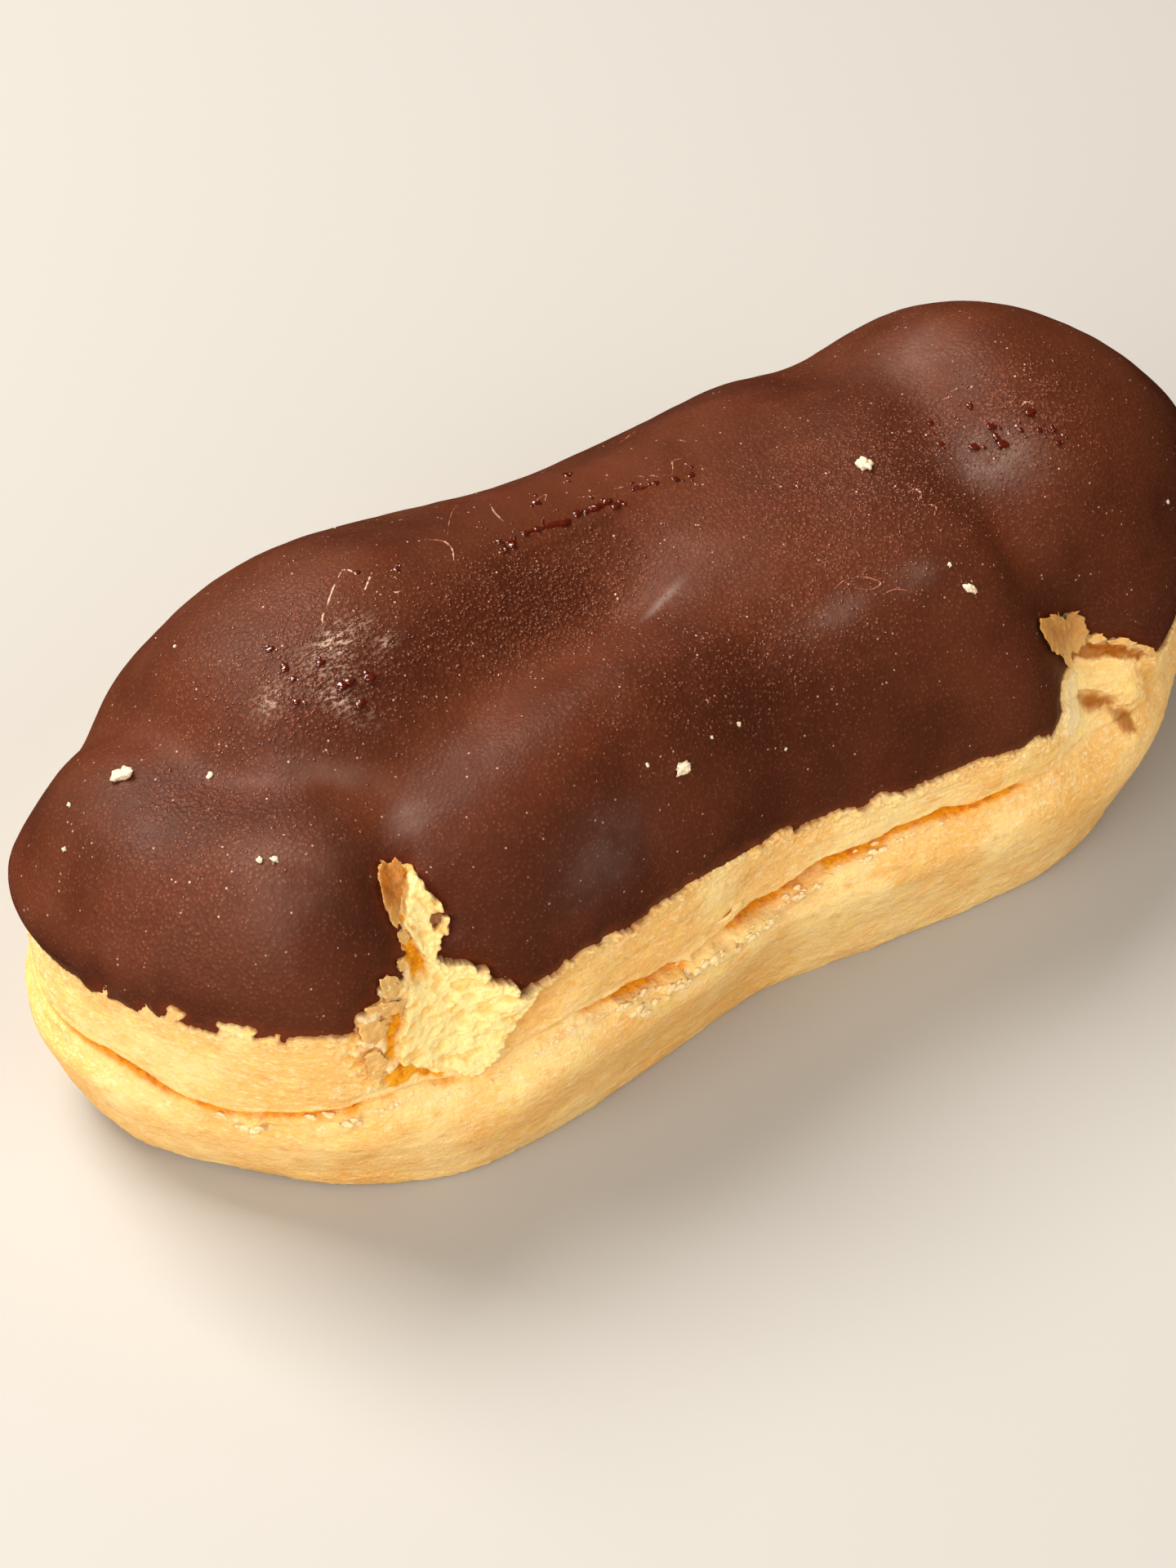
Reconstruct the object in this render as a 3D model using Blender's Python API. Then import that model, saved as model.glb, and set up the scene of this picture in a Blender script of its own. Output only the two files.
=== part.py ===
"""Mini chocolate eclair, a small choux bun with a set chocolate coat over its top.

Two closed solids, in metres with +Z up and the origin at the middle of the base:

* choux_shell, the baked pastry in one piece. It has a flat base, a lower shell, a crease that runs
  all round, and an upper strip. Under the coat it steps in, so that the coat lies on it.
* chocolate_coating, a skin over the top, with a torn notch open in its front edge near each end.

Both read one form: a lobed outline seen from above, a meridian that is a superellipse above the
widest line and a quarter ellipse below it, and a list of named swells and dents. +X runs along the
bun, and -Y is the front, with the two notches.
"""

from dataclasses import dataclass

import bmesh
import bpy
import numpy as np

MM = 0.001

# Driving dimensions in millimetres. Angles are in degrees.
HALF_LENGTH = 33.6        # outline before its lobes
HALF_WIDTH = 14.4
CROWN_HEIGHT = 23.2       # top of the plain form, before its swells
WIDEST_HEIGHT = 9.8       # height of the widest line
BASE_SPREAD = 0.92        # rim of the flat base, as a share of the widest outline
OUTLINE_POWER = 2.08      # 2 is an ellipse, more is boxier
SIDE_POWER = 2.3          # shoulder across the sides
END_POWER = 3.7           # shoulder at the two ends, fuller
CROWN_POWER = 2.17        # how flat the crown is

COAT_PROUD = 0.35         # outer face of the coat above the form
COAT_DEPTH = 0.70         # inner face of the coat below the form
COAT_GAP = 0.65           # room between the coat and the pastry under it, square to the plain form
EDGE_GAP = 0.45           # room round the coat's lower edge

EDGE_HEIGHT = 13.4        # lower edge of the coat
EDGE_TURN = 0.3           # its outer face starts to turn in this much above the edge
STEP_HEIGHT = 0.35        # the pastry steps out over this height under the edge
EDGE_DROP = 1.2           # the front edge hangs this much lower to the right of the left notch
TOOTH_DROP = 1.2          # and lower still at the left corner of the right notch
TOOTH_X = 15.8
TOOTH_HALF = 1.5
LEFT_SLOT_X = -23.4       # narrow slot at the top of the left notch
LEFT_SLOT_HALF = 1.5
LEFT_SLOT_RISE = 6.4
SLOT_LEAN = 3.3           # degrees that columns at the slot lean outwards higher up, so it stands upright
SLOT_LEAN_HALF = 5.0
SLOT_LEAN_SHARES = (0.91, 0.79)  # shares of the outline's radius between which they start and end to lean
LEFT_FLARE_X = -21.8      # wider mouth at its bottom
LEFT_FLARE_HALF = 3.5
LEFT_FLARE_RISE = 2.3
RIGHT_NOTCH_X = 17.3      # the right notch is steep on one side and slopes on the other
RIGHT_NOTCH_RISE = 5.8
RIGHT_NOTCH_STEEP = 0.8
RIGHT_NOTCH_SLOPE = 3.5

CREASE_HEIGHT = 9.3       # crease between the lower shell and the upper strip
CREASE_CLIMB = 1.0        # it is this much higher at +X than at the middle
HOLLOW_DEPTH = 0.7        # soft hollow along the crease
HOLLOW_HALF = 1.5
SLIT_DEPTH = 1.3          # sharp slit at the bottom of the hollow
SLIT_HALF = 0.45
SHELL_BULGE = 0.7         # the lower shell swells out under the crease
SHELL_BULGE_HEIGHT = 6.3
SHELL_BULGE_HALF = 2.8

HEEL_LIFT = 0.2           # the rim of the base lifts clear near the front left corner
HEEL_AT = (-29.5, -9.0)
HEEL_REACH = (7.0, 5.0)

# Lobes and waists of the outline: direction seen from above, half width, share added.
OUTLINE_LOBES = (
    (-92.0, 28.0, -0.117),   # waist along the front
    (211.5, 16.0, 0.162),    # front left corner
    (157.0, 16.0, 0.070),    # back left corner
    (-33.5, 16.0, 0.157),    # front right corner
    (180.0, 14.0, 0.025),
    (0.0, 14.0, 0.093),
)

COLUMNS = 112
CROWN_ROWS = 12           # rows from the crown to the turn of the coat's edge
COLUMN_CROWDING = 3.0     # columns are this much closer beside the two notches
CROWDING_HALF = 5.0
CHOUX_COLOUR = (0.85, 0.53, 0.20, 1.0)
CHOCOLATE_COLOUR = (0.070, 0.021, 0.012, 1.0)


@dataclass(frozen=True)
class Swell:
    """A soft rise (or a dent, if its height is negative) of the form, in millimetres."""

    name: str
    at: tuple
    spread: tuple
    turn: float
    height: float


SWELLS = (
    Swell("back left crown", (-18.0, 2.5, 23.0), (9.0, 7.5, 10.0), -20, 2.9),
    Swell("front left crown", (-27.0, -9.0, 18.0), (5.0, 7.5, 7.5), -12, 3.2),
    Swell("left end lip", (-31.5, -1.0, 17.0), (2.5, 8.0, 7.0), 5, 1.2),
    Swell("crease between the left crowns", (-24.5, -3.5, 21.0), (5.5, 2.0, 7.5), -38, -1.4),
    Swell("bottom of that crease", (-25.5, -5.0, 21.5), (5.5, 1.3, 7.5), -31, -0.4),
    Swell("nick at the back left", (-27.0, 3.5, 19.5), (1.7, 6.0, 8.0), 9, -1.3),
    Swell("valley behind the left notch", (-18.0, -5.8, 22.0), (5.5, 3.2, 7.5), 15, -1.1),
    Swell("long valley", (-9.0, -3.6, 22.5), (7.5, 3.2, 8.0), 14, -2.1),
    Swell("pit", (-4.2, -3.4, 22.8), (3.0, 2.6, 7.7), -20, -1.0),
    Swell("back ridge", (-3.5, 4.4, 22.8), (9.5, 2.4, 7.7), 3, 0.9),
    Swell("back flank", (2.0, 9.0, 19.0), (10.5, 4.3, 7.4), 7, -1.0),
    Swell("front ridge", (-5.0, -9.3, 21.0), (13.0, 3.2, 9.8), 2, 0.7),
    Swell("right crown", (21.5, -0.5, 22.0), (8.7, 9.0, 6.5), 9, 3.5),
    Swell("right shoulder", (30.0, -5.5, 19.5), (6.7, 5.0, 7.5), -5, 0.8),
    Swell("saddle before the right crown", (16.2, -1.5, 22.0), (2.6, 5.0, 9.5), -18, -1.5),
    Swell("back of the saddle", (15.0, 6.0, 22.0), (3.0, 4.5, 7.5), -30, -1.3),
    Swell("front of the saddle", (15.6, -9.0, 20.5), (2.0, 3.8, 7.6), 8, -1.4),
    Swell("left notch hollow", (-22.2, -12.8, 16.7), (3.3, 4.2, 8.8), 12, -2.0),
    Swell("top of the left notch", (-22.4, -9.0, 20.0), (1.9, 2.0, 7.6), 0, -0.6),
    Swell("right notch hollow", (18.8, -12.8, 15.0), (3.0, 5.5, 6.5), 25, -2.6),
)


def outline_radius(angle):
    """Distance of the widest outline from the middle, in the direction of each angle."""
    along = np.abs(np.cos(angle) / HALF_LENGTH) ** OUTLINE_POWER
    across = np.abs(np.sin(angle) / HALF_WIDTH) ** OUTLINE_POWER
    radius = (along + across) ** (-1 / OUTLINE_POWER)
    for direction, half_width, share in OUTLINE_LOBES:
        away = (angle - np.radians(direction) + np.pi) % (2 * np.pi) - np.pi
        radius = radius * (1 + share * np.exp(-((away / np.radians(half_width)) ** 2)))
    return radius


def shoulder_power(angle):
    """How boxy the meridian is in each direction: fuller at the ends than at the sides."""
    return SIDE_POWER + (END_POWER - SIDE_POWER) * np.cos(angle) ** 2


def plain_form(angle, swing):
    """Points of the form without swells.

    swing runs from 0 at the crown through a quarter turn at the widest line to a half turn at the
    rim of the base, and on to three quarters of a turn at the middle of the flat base.
    """
    sine = np.abs(np.sin(swing))
    cosine = np.abs(np.cos(swing))
    above = swing <= np.pi / 2
    below = swing <= np.pi
    share = np.where(above, sine, np.where(below, BASE_SPREAD + (1 - BASE_SPREAD) * sine, 0.0))
    share = np.where(below, share, BASE_SPREAD * cosine)
    climb = np.clip(1 - sine ** shoulder_power(angle), 0.0, 1.0) ** (1 / CROWN_POWER)
    upper = WIDEST_HEIGHT + (CROWN_HEIGHT - WIDEST_HEIGHT) * climb
    height = np.where(above, upper, np.where(below, WIDEST_HEIGHT * (1 - cosine), 0.0))
    radius = share * outline_radius(angle)
    return np.stack([radius * np.cos(angle), radius * np.sin(angle), height], axis=-1)


def swing_at_height(angle, height):
    """Swing at which the plain form has a height, in each direction, above or below the widest."""
    climb = np.clip((height - WIDEST_HEIGHT) / (CROWN_HEIGHT - WIDEST_HEIGHT), 0.0, 1.0)
    upper = np.arcsin((1 - climb**CROWN_POWER) ** (1 / shoulder_power(angle)))
    lower = np.pi - np.arccos(np.clip(1 - height / WIDEST_HEIGHT, 0.0, 1.0))
    return np.where(height >= WIDEST_HEIGHT, upper, lower)


def form_normals(angle, swing):
    """Unit normals of the plain form, from small steps along both parameters."""
    step = 1e-4
    around = plain_form(angle + step, swing) - plain_form(angle - step, swing)
    down = plain_form(angle, swing + step) - plain_form(angle, np.maximum(swing - step, 0.0))
    normal = np.cross(down, around)
    length = np.linalg.norm(normal, axis=-1, keepdims=True)
    normal = normal / np.maximum(length, 1e-12)
    normal[swing < 0.01] = (0.0, 0.0, 1.0)
    normal[swing > np.pi - 0.02] = (0.0, 0.0, -1.0)
    return normal


def swell_height(points):
    """Height that the swells and dents add at each point of the plain form."""
    total = np.zeros(points.shape[:-1])
    for swell in SWELLS:
        away = points - np.array(swell.at)
        cosine = np.cos(np.radians(swell.turn))
        sine = np.sin(np.radians(swell.turn))
        along = (away[..., 0] * cosine + away[..., 1] * sine) / swell.spread[0]
        across = (away[..., 1] * cosine - away[..., 0] * sine) / swell.spread[1]
        up = away[..., 2] / swell.spread[2]
        total += swell.height * np.exp(-(along**2 + across**2 + up**2))
    rise = np.clip(points[..., 2] / 3.0, 0.0, 1.0)
    bulge = (points[..., 2] - SHELL_BULGE_HEIGHT) / SHELL_BULGE_HALF
    total += SHELL_BULGE * np.exp(-(bulge**2))
    return total * rise * rise * (3 - 2 * rise)


def form(angle, swing, offset):
    """Points of the true form, moved out by offset along the plain form's normals."""
    plain = plain_form(angle, swing)
    height = swell_height(plain) + offset
    return plain + form_normals(angle, swing) * height[..., None]


def crease_height(x):
    """Height of the crease between the lower shell and the upper strip."""
    return CREASE_HEIGHT + CREASE_CLIMB * x / HALF_LENGTH


def crease_depth(plain):
    """Depth of the crease at points of the plain form: a soft hollow with a sharp slit in it."""
    away = plain[..., 2] - crease_height(plain[..., 0])
    hollow = HOLLOW_DEPTH * np.exp(-((away / HOLLOW_HALF) ** 2))
    slit = SLIT_DEPTH * np.exp(-((away / SLIT_HALF) ** 2))
    return hollow + slit


def heel_lift(points):
    """How far the rim of the base lifts off the surface near the front left corner."""
    along = (points[..., 0] - HEEL_AT[0]) / HEEL_REACH[0]
    across = (points[..., 1] - HEEL_AT[1]) / HEEL_REACH[1]
    low = np.exp(-((points[..., 2] / 3.0) ** 2))
    return HEEL_LIFT * low * np.exp(-(along**2 + across**2))


def edge_height(column, inset):
    """Height of the coat's lower edge for each column, moved out from the coat by inset."""
    x = outline_radius(column) * np.cos(column)
    front = 0.5 - 0.5 * np.tanh(4 * np.sin(column))
    wave = 0.22 * np.sin(5 * column + 1.0) + 0.14 * np.sin(11 * column)
    drop = EDGE_DROP * np.clip((x + 25.0) / 12.0, 0.0, 1.0)
    drop = drop + TOOTH_DROP * np.exp(-(((x - TOOTH_X) / TOOTH_HALF) ** 2))
    slot = LEFT_SLOT_RISE * np.exp(-(((x - LEFT_SLOT_X) / (LEFT_SLOT_HALF - inset)) ** 4))
    flare = LEFT_FLARE_RISE * np.exp(-(((x - LEFT_FLARE_X) / (LEFT_FLARE_HALF - inset)) ** 4))
    steep_side = np.minimum(x - RIGHT_NOTCH_X - inset, 0.0) / RIGHT_NOTCH_STEEP
    slope_side = np.maximum(x - RIGHT_NOTCH_X + inset, 0.0) / RIGHT_NOTCH_SLOPE
    right = RIGHT_NOTCH_RISE * np.exp(-(steep_side**2) - slope_side**2)
    rise = np.maximum(slot, flare) + right - drop
    return EDGE_HEIGHT + wave + rise * front - inset


def column_angles():
    """Rim directions of the columns, evenly spaced along the outline but closer at the notches."""
    angle = np.linspace(0.0, 2 * np.pi, 4001)
    radius = outline_radius(angle)
    x, y = radius * np.cos(angle), radius * np.sin(angle)
    near_left = np.exp(-(((x - LEFT_FLARE_X) / CROWDING_HALF) ** 2))
    near_right = np.exp(-(((x - RIGHT_NOTCH_X) / CROWDING_HALF) ** 2))
    density = 1 + (COLUMN_CROWDING - 1) * (near_left + near_right) * (y < 0)
    travel = np.hypot(np.diff(x), np.diff(y)) * (density[1:] + density[:-1]) / 2
    travel = np.concatenate([[0.0], np.cumsum(travel)])
    places = np.linspace(0.0, travel[-1], COLUMNS, endpoint=False)
    return np.interp(places, travel, angle)


def leaning_angle(column, swing):
    """Direction of a column at each swing: near the rim it keeps its own x, most of all at the slot."""
    share = np.where(swing < np.pi / 2, np.sin(swing), 1.0)
    keep = 0.6
    squeeze = ((share**6 + keep**6) / (1 + keep**6)) ** (1 / 6)
    x = outline_radius(column) * np.cos(column)
    near = np.exp(-(((x - LEFT_SLOT_X) / SLOT_LEAN_HALF) ** 2)) * (0.5 - 0.5 * np.tanh(4 * np.sin(column)))
    start, end = SLOT_LEAN_SHARES
    climb = np.clip((start - share) / (start - end), 0.0, 1.0)
    lean = np.radians(SLOT_LEAN) * near * climb * climb * (3 - 2 * climb)
    return np.arctan2(squeeze * np.sin(column), np.cos(column)) - lean


def stack_rows(sections):
    """Rows of swings and offsets, from sections of (start, end, first, last, count).

    start and end are the swings of a section's two border lines for every column, and first and
    last are the offsets there. The upper pole comes before the first row.
    """
    swing, offset = [], []
    for start, end, first, last, count in sections:
        for step in range(1, count + 1):
            share = step / count
            swing.append(start + (end - start) * share)
            offset.append(np.full(COLUMNS, first + (last - first) * share))
    return np.array(swing), np.array(offset)


def edge_lines(column):
    """Swings of the coat's edge and of the line where its outer face starts to turn in."""
    height = edge_height(column, 0.0)
    return swing_at_height(column, height), swing_at_height(column, height + EDGE_TURN)


def choux_rows(column):
    """Rows of the pastry: stepped in under the coat, then strip, crease, shell and base."""
    top = np.zeros(COLUMNS)
    turn = edge_lines(column)[1]
    under = swing_at_height(column, edge_height(column, EDGE_GAP))
    strip = swing_at_height(column, edge_height(column, EDGE_GAP) - STEP_HEIGHT)
    crease = crease_height(outline_radius(column) * np.cos(column))
    above = swing_at_height(column, crease + 2 * SLIT_HALF)
    slit = swing_at_height(column, crease)
    below = swing_at_height(column, crease - 2 * SLIT_HALF)
    rim = np.full(COLUMNS, np.pi)
    middle = np.full(COLUMNS, 1.5 * np.pi)
    inside = -(COAT_DEPTH + COAT_GAP)
    return stack_rows((
        (top, turn, inside, inside, CROWN_ROWS),
        (turn, under, inside, inside, 1),
        (under, strip, inside, 0.0, 1),
        (strip, above, 0.0, 0.0, 2),
        (above, slit, 0.0, 0.0, 2),
        (slit, below, 0.0, 0.0, 2),
        (below, rim, 0.0, 0.0, 7),
        (rim, middle, 0.0, 0.0, 2),
    ))


def coat_rows(column):
    """Rows of the coat: out from the crown to the edge, round it, and back along the inside."""
    top = np.zeros(COLUMNS)
    edge, turn = edge_lines(column)
    return stack_rows((
        (top, turn, COAT_PROUD, COAT_PROUD, CROWN_ROWS),
        (turn, edge, COAT_PROUD, -0.1, 1),
        (edge, turn, -0.1, -COAT_DEPTH, 1),
        (turn, top, -COAT_DEPTH, -COAT_DEPTH, CROWN_ROWS),
    ))


def pastry_surface(angle, swing, offset):
    """The pastry's surface: the form with its crease, and with the lifted heel of its base."""
    points = form(angle, swing, offset)
    bare = (offset == 0) & (swing < 0.97 * np.pi)
    depth = np.where(bare, crease_depth(plain_form(angle, swing)), 0.0)
    points = points - form_normals(angle, swing) * depth[..., None]
    points[..., 2] = np.where(swing > np.pi - 1e-6, 0.0, points[..., 2])
    points[..., 2] += np.where(swing > np.pi / 2, heel_lift(points), 0.0)
    return points


def round_body(name, rows, surface):
    """A closed body: a UV sphere whose rings and columns are moved on to rows of a surface."""
    swing, offset = rows
    count = len(swing)
    column = column_angles()
    mesh = bpy.data.meshes.new(name)
    body = bmesh.new()
    bmesh.ops.create_uvsphere(body, u_segments=COLUMNS, v_segments=count, radius=1.0)
    body.to_mesh(mesh)
    body.free()

    place = np.empty(len(mesh.vertices) * 3)
    mesh.vertices.foreach_get("co", place)
    place = place.reshape(-1, 3)
    ring = np.rint(np.arccos(np.clip(place[:, 2], -1, 1)) / np.pi * count).astype(int)
    turn = np.rint(np.arctan2(place[:, 1], place[:, 0]) / (2 * np.pi) * COLUMNS).astype(int) % COLUMNS
    ring_swing = np.where(ring > 0, swing[ring - 1, turn], 0.0)
    ring_offset = np.where(ring > 0, offset[ring - 1, turn], offset[0, turn])
    angle = leaning_angle(column[turn], ring_swing)
    points = surface(angle, ring_swing, ring_offset) + frame_shift()
    mesh.vertices.foreach_set("co", (points * MM).ravel())
    mesh.update()
    return mesh


def frame_shift():
    """Shift that brings the middle of the bun's box to x = 0 and y = 0."""
    angle = np.radians(np.arange(0.0, 360.0, 1.0))[:, None]
    swing = np.radians(np.arange(1.0, 180.0, 1.0))[None, :]
    points = form(angle + 0 * swing, swing + 0 * angle, np.zeros((360, 179)))
    low, high = points.min(axis=(0, 1)), points.max(axis=(0, 1))
    return np.array([-(low[0] + high[0]) / 2, -(low[1] + high[1]) / 2, 0.0])


def material(name, colour, roughness):
    """A plain Principled material."""
    made = bpy.data.materials.new(name)
    made.use_nodes = True
    shader = made.node_tree.nodes["Principled BSDF"]
    shader.inputs["Base Color"].default_value = colour
    shader.inputs["Roughness"].default_value = roughness
    shader.inputs["Metallic"].default_value = 0.0
    return made


def add_piece(collection, name, mesh, finish):
    """Puts a mesh in the collection as a named object, with smooth faces and its finish."""
    mesh.shade_smooth()
    mesh.materials.append(finish)
    piece = bpy.data.objects.new(name, mesh)
    collection.objects.link(piece)
    return piece


def main():
    """Builds the eclair."""
    for old in list(bpy.data.objects):
        bpy.data.objects.remove(old)
    collection = bpy.data.collections.new("mini_chocolate_eclair")
    bpy.context.scene.collection.children.link(collection)

    column = column_angles()
    shell = round_body("choux_shell", choux_rows(column), pastry_surface)
    coat = round_body("chocolate_coating", coat_rows(column), form)
    add_piece(collection, "choux_shell", shell, material("baked_choux", CHOUX_COLOUR, 0.7))
    add_piece(collection, "chocolate_coating", coat, material("set_chocolate", CHOCOLATE_COLOUR, 0.4))


main()
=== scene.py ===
"""Looks of a mini chocolate eclair: a baked choux bun with a set chocolate coat, torn open at two notches.

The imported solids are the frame. Two dense surfaces take their place, the pastry and the coat, both worked
out from the one form of the bun. Round the coat's ragged edge and in the notches finer surfaces lie over
the pastry, and flaps, flakes, crumbs and damp beads finish it. Lengths are millimetres in the form's own
frame, and turn to metres when a mesh is made.
"""

from __future__ import annotations

import logging
from dataclasses import dataclass, field
from enum import Enum

import bpy
import numpy as np
from mathutils import Matrix, Vector

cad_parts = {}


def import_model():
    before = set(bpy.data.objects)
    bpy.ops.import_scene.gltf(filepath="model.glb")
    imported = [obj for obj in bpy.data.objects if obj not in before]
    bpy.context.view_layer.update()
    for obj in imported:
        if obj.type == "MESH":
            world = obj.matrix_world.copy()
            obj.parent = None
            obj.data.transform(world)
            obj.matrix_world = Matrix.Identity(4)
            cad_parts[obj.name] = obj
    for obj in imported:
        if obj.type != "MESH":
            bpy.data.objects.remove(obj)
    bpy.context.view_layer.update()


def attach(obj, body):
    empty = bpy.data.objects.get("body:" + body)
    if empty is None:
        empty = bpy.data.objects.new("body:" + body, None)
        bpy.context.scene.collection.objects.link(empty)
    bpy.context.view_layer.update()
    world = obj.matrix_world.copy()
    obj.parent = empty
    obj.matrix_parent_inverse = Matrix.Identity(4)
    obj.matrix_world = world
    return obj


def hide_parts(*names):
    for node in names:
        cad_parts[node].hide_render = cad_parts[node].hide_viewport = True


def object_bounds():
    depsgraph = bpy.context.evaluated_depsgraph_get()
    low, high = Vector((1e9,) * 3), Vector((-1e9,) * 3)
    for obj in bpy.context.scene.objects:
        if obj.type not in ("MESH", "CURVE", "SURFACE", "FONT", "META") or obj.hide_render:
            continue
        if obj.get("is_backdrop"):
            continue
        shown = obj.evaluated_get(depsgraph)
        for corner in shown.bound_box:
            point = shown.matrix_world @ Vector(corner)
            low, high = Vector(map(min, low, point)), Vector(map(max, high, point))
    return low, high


LOG = logging.getLogger("eclair")
MM = 0.001
PHOTO_SIZE = (1440, 1920)
SENSOR = 36.0
FULL_TURN = 2 * np.pi
BODY = "root"
SHELL_NODE = "choux_shell"
COAT_NODE = "chocolate_coating"

Array = np.ndarray
Socket = bpy.types.NodeSocket
Piece = bpy.types.Object


class Slot(Enum):
    """The record's material slots."""

    CHOUX = "baked_choux"
    CHOCOLATE = "set_chocolate"


def smooth_step(value: Array, low: float, high: float) -> Array:
    """Runs smoothly from 0 at low to 1 at high."""
    share = np.clip((value - low) / (high - low), 0.0, 1.0)
    return share * share * (3 - 2 * share)


def bell(value: Array, middle: float, half: float) -> Array:
    """A Gaussian of half width half about middle."""
    return np.exp(-(((value - middle) / half) ** 2))


def turned_shares(
    first: Array, second: Array, at: tuple, radii: tuple, degrees: float
) -> tuple[Array, Array]:
    """Distances from a place along two axes turned by some degrees, as shares of two radii."""
    cosine, sine = np.cos(np.radians(degrees)), np.sin(np.radians(degrees))
    first, second = first - at[0], second - at[1]
    return (first * cosine + second * sine) / radii[0], (second * cosine - first * sine) / radii[1]


def shuffled(shuffle: Array, cell: Array) -> Array:
    """A number from 0 to 255 for each cell of a lattice."""
    number = shuffle[cell[..., 0] & 255]
    number = shuffle[(number + cell[..., 1]) & 255]
    return shuffle[(number + cell[..., 2]) & 255]


class GradientNoise:
    """Seeded gradient noise in space: smooth random values with one wave to each cell of a lattice."""

    def __init__(self, seed: int) -> None:
        """Draws the lattice's shuffle and its gradients.

        Args:
            seed: sets the random draws.
        """
        draw = np.random.default_rng(seed)
        self.shuffle = draw.permutation(256)
        slopes = draw.normal(size=(256, 3))
        self.slopes = slopes / np.linalg.norm(slopes, axis=1, keepdims=True)

    def at(self, points: Array, size: float | tuple[float, float, float]) -> Array:
        """Noise of about -1 to 1.

        Args:
            points: places, with the three coordinates last.
            size: width of a lattice cell, the same or different along the axes.

        Returns:
            One value for each point.
        """
        place = points / np.asarray(size)
        cell = np.floor(place).astype(np.int64)
        inside = place - cell
        fade = inside**3 * (inside * (inside * 6 - 15) + 10)
        total = np.zeros(points.shape[:-1])
        for corner in np.ndindex(2, 2, 2):
            step = np.array(corner)
            slope = (self.slopes[shuffled(self.shuffle, cell + step)] * (inside - step)).sum(axis=-1)
            total += slope * np.where(step, fade, 1 - fade).prod(axis=-1)
        return total * 1.7

    def waves(self, points: Array, *waves: tuple) -> Array:
        """Sum of noises, each given as its height, a shift of the places, and its size."""
        return sum(height * self.at(points + shift, size) for height, shift, size in waves)


class CellNoise:
    """Seeded cells in space: one feature point in each cell of a lattice."""

    def __init__(self, seed: int) -> None:
        """Draws the shuffle and the feature points' places in their cells."""
        draw = np.random.default_rng(seed)
        self.shuffle = draw.permutation(256)
        self.places = draw.random((256, 3))

    def at(self, points: Array, size: float) -> tuple[Array, Array]:
        """Distances to the nearest and second nearest feature point, as shares of the cell's size.

        Args:
            points: places, with x, y and z last.
            size: width of a lattice cell.

        Returns:
            The nearest and the second nearest distance.
        """
        place = points / size
        cell = np.floor(place).astype(np.int64)
        first = np.full(points.shape[:-1], np.inf)
        second = first.copy()
        for corner in np.ndindex(3, 3, 3):
            there = cell + np.array(corner) - 1
            away = np.linalg.norm(there + self.places[shuffled(self.shuffle, there)] - place, axis=-1)
            second = np.minimum(second, np.maximum(first, away))
            first = np.minimum(first, away)
        return first, second


@dataclass(frozen=True)
class Swell:
    """A soft rise, or a dent if its height is negative, of the form: a Gaussian turned about Z."""

    name: str
    at: tuple[float, float, float]
    spread: tuple[float, float, float]
    turn: float
    height: float

    def over(self, points: Array) -> Array:
        """Height that it adds at each point."""
        along, across = turned_shares(points[..., 0], points[..., 1], self.at, self.spread, self.turn)
        up = (points[..., 2] - self.at[2]) / self.spread[2]
        return self.height * np.exp(-(along**2 + across**2 + up**2))


SWELLS = (
    Swell("back left crown", (-18.0, 2.5, 23.0), (9.0, 7.5, 10.0), -20, 2.9),
    Swell("front left crown", (-27.0, -9.0, 18.0), (5.0, 7.5, 7.5), -12, 3.2),
    Swell("left end lip", (-31.5, -1.0, 17.0), (2.5, 8.0, 7.0), 5, 1.2),
    Swell("crease between the left crowns", (-24.5, -3.5, 21.0), (5.5, 2.0, 7.5), -38, -1.4),
    Swell("bottom of that crease", (-25.5, -5.0, 21.5), (5.5, 1.3, 7.5), -31, -0.4),
    Swell("nick at the back left", (-27.0, 3.5, 19.5), (1.7, 6.0, 8.0), 9, -1.3),
    Swell("valley behind the left notch", (-18.0, -5.8, 22.0), (5.5, 3.2, 7.5), 15, -1.1),
    Swell("long valley", (-9.0, -3.6, 22.5), (7.5, 3.2, 8.0), 14, -2.1),
    Swell("pit", (-4.2, -3.4, 22.8), (3.0, 2.6, 7.7), -20, -1.0),
    Swell("back ridge", (-3.5, 4.4, 22.8), (9.5, 2.4, 7.7), 3, 0.9),
    Swell("back flank", (2.0, 9.0, 19.0), (10.5, 4.3, 7.4), 7, -1.0),
    Swell("front ridge", (-5.0, -9.3, 21.0), (13.0, 3.2, 9.8), 2, 0.7),
    Swell("right crown", (21.5, -0.5, 22.0), (8.7, 9.0, 6.5), 9, 3.5),
    Swell("right shoulder", (30.0, -5.5, 19.5), (6.7, 5.0, 7.5), -5, 0.8),
    Swell("saddle before the right crown", (16.2, -1.5, 22.0), (2.6, 5.0, 9.5), -18, -1.5),
    Swell("back of the saddle", (15.0, 6.0, 22.0), (3.0, 4.5, 7.5), -30, -1.3),
    Swell("front of the saddle", (15.6, -9.0, 20.5), (2.0, 3.8, 7.6), 8, -1.4),
    Swell("left notch hollow", (-22.2, -12.8, 16.7), (3.3, 4.2, 8.8), 12, -2.0),
    Swell("top of the left notch", (-22.4, -9.0, 20.0), (1.9, 2.0, 7.6), 0, -0.6),
    Swell("right notch hollow", (18.8, -12.8, 15.0), (3.0, 5.5, 6.5), 25, -2.6),
)


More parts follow.
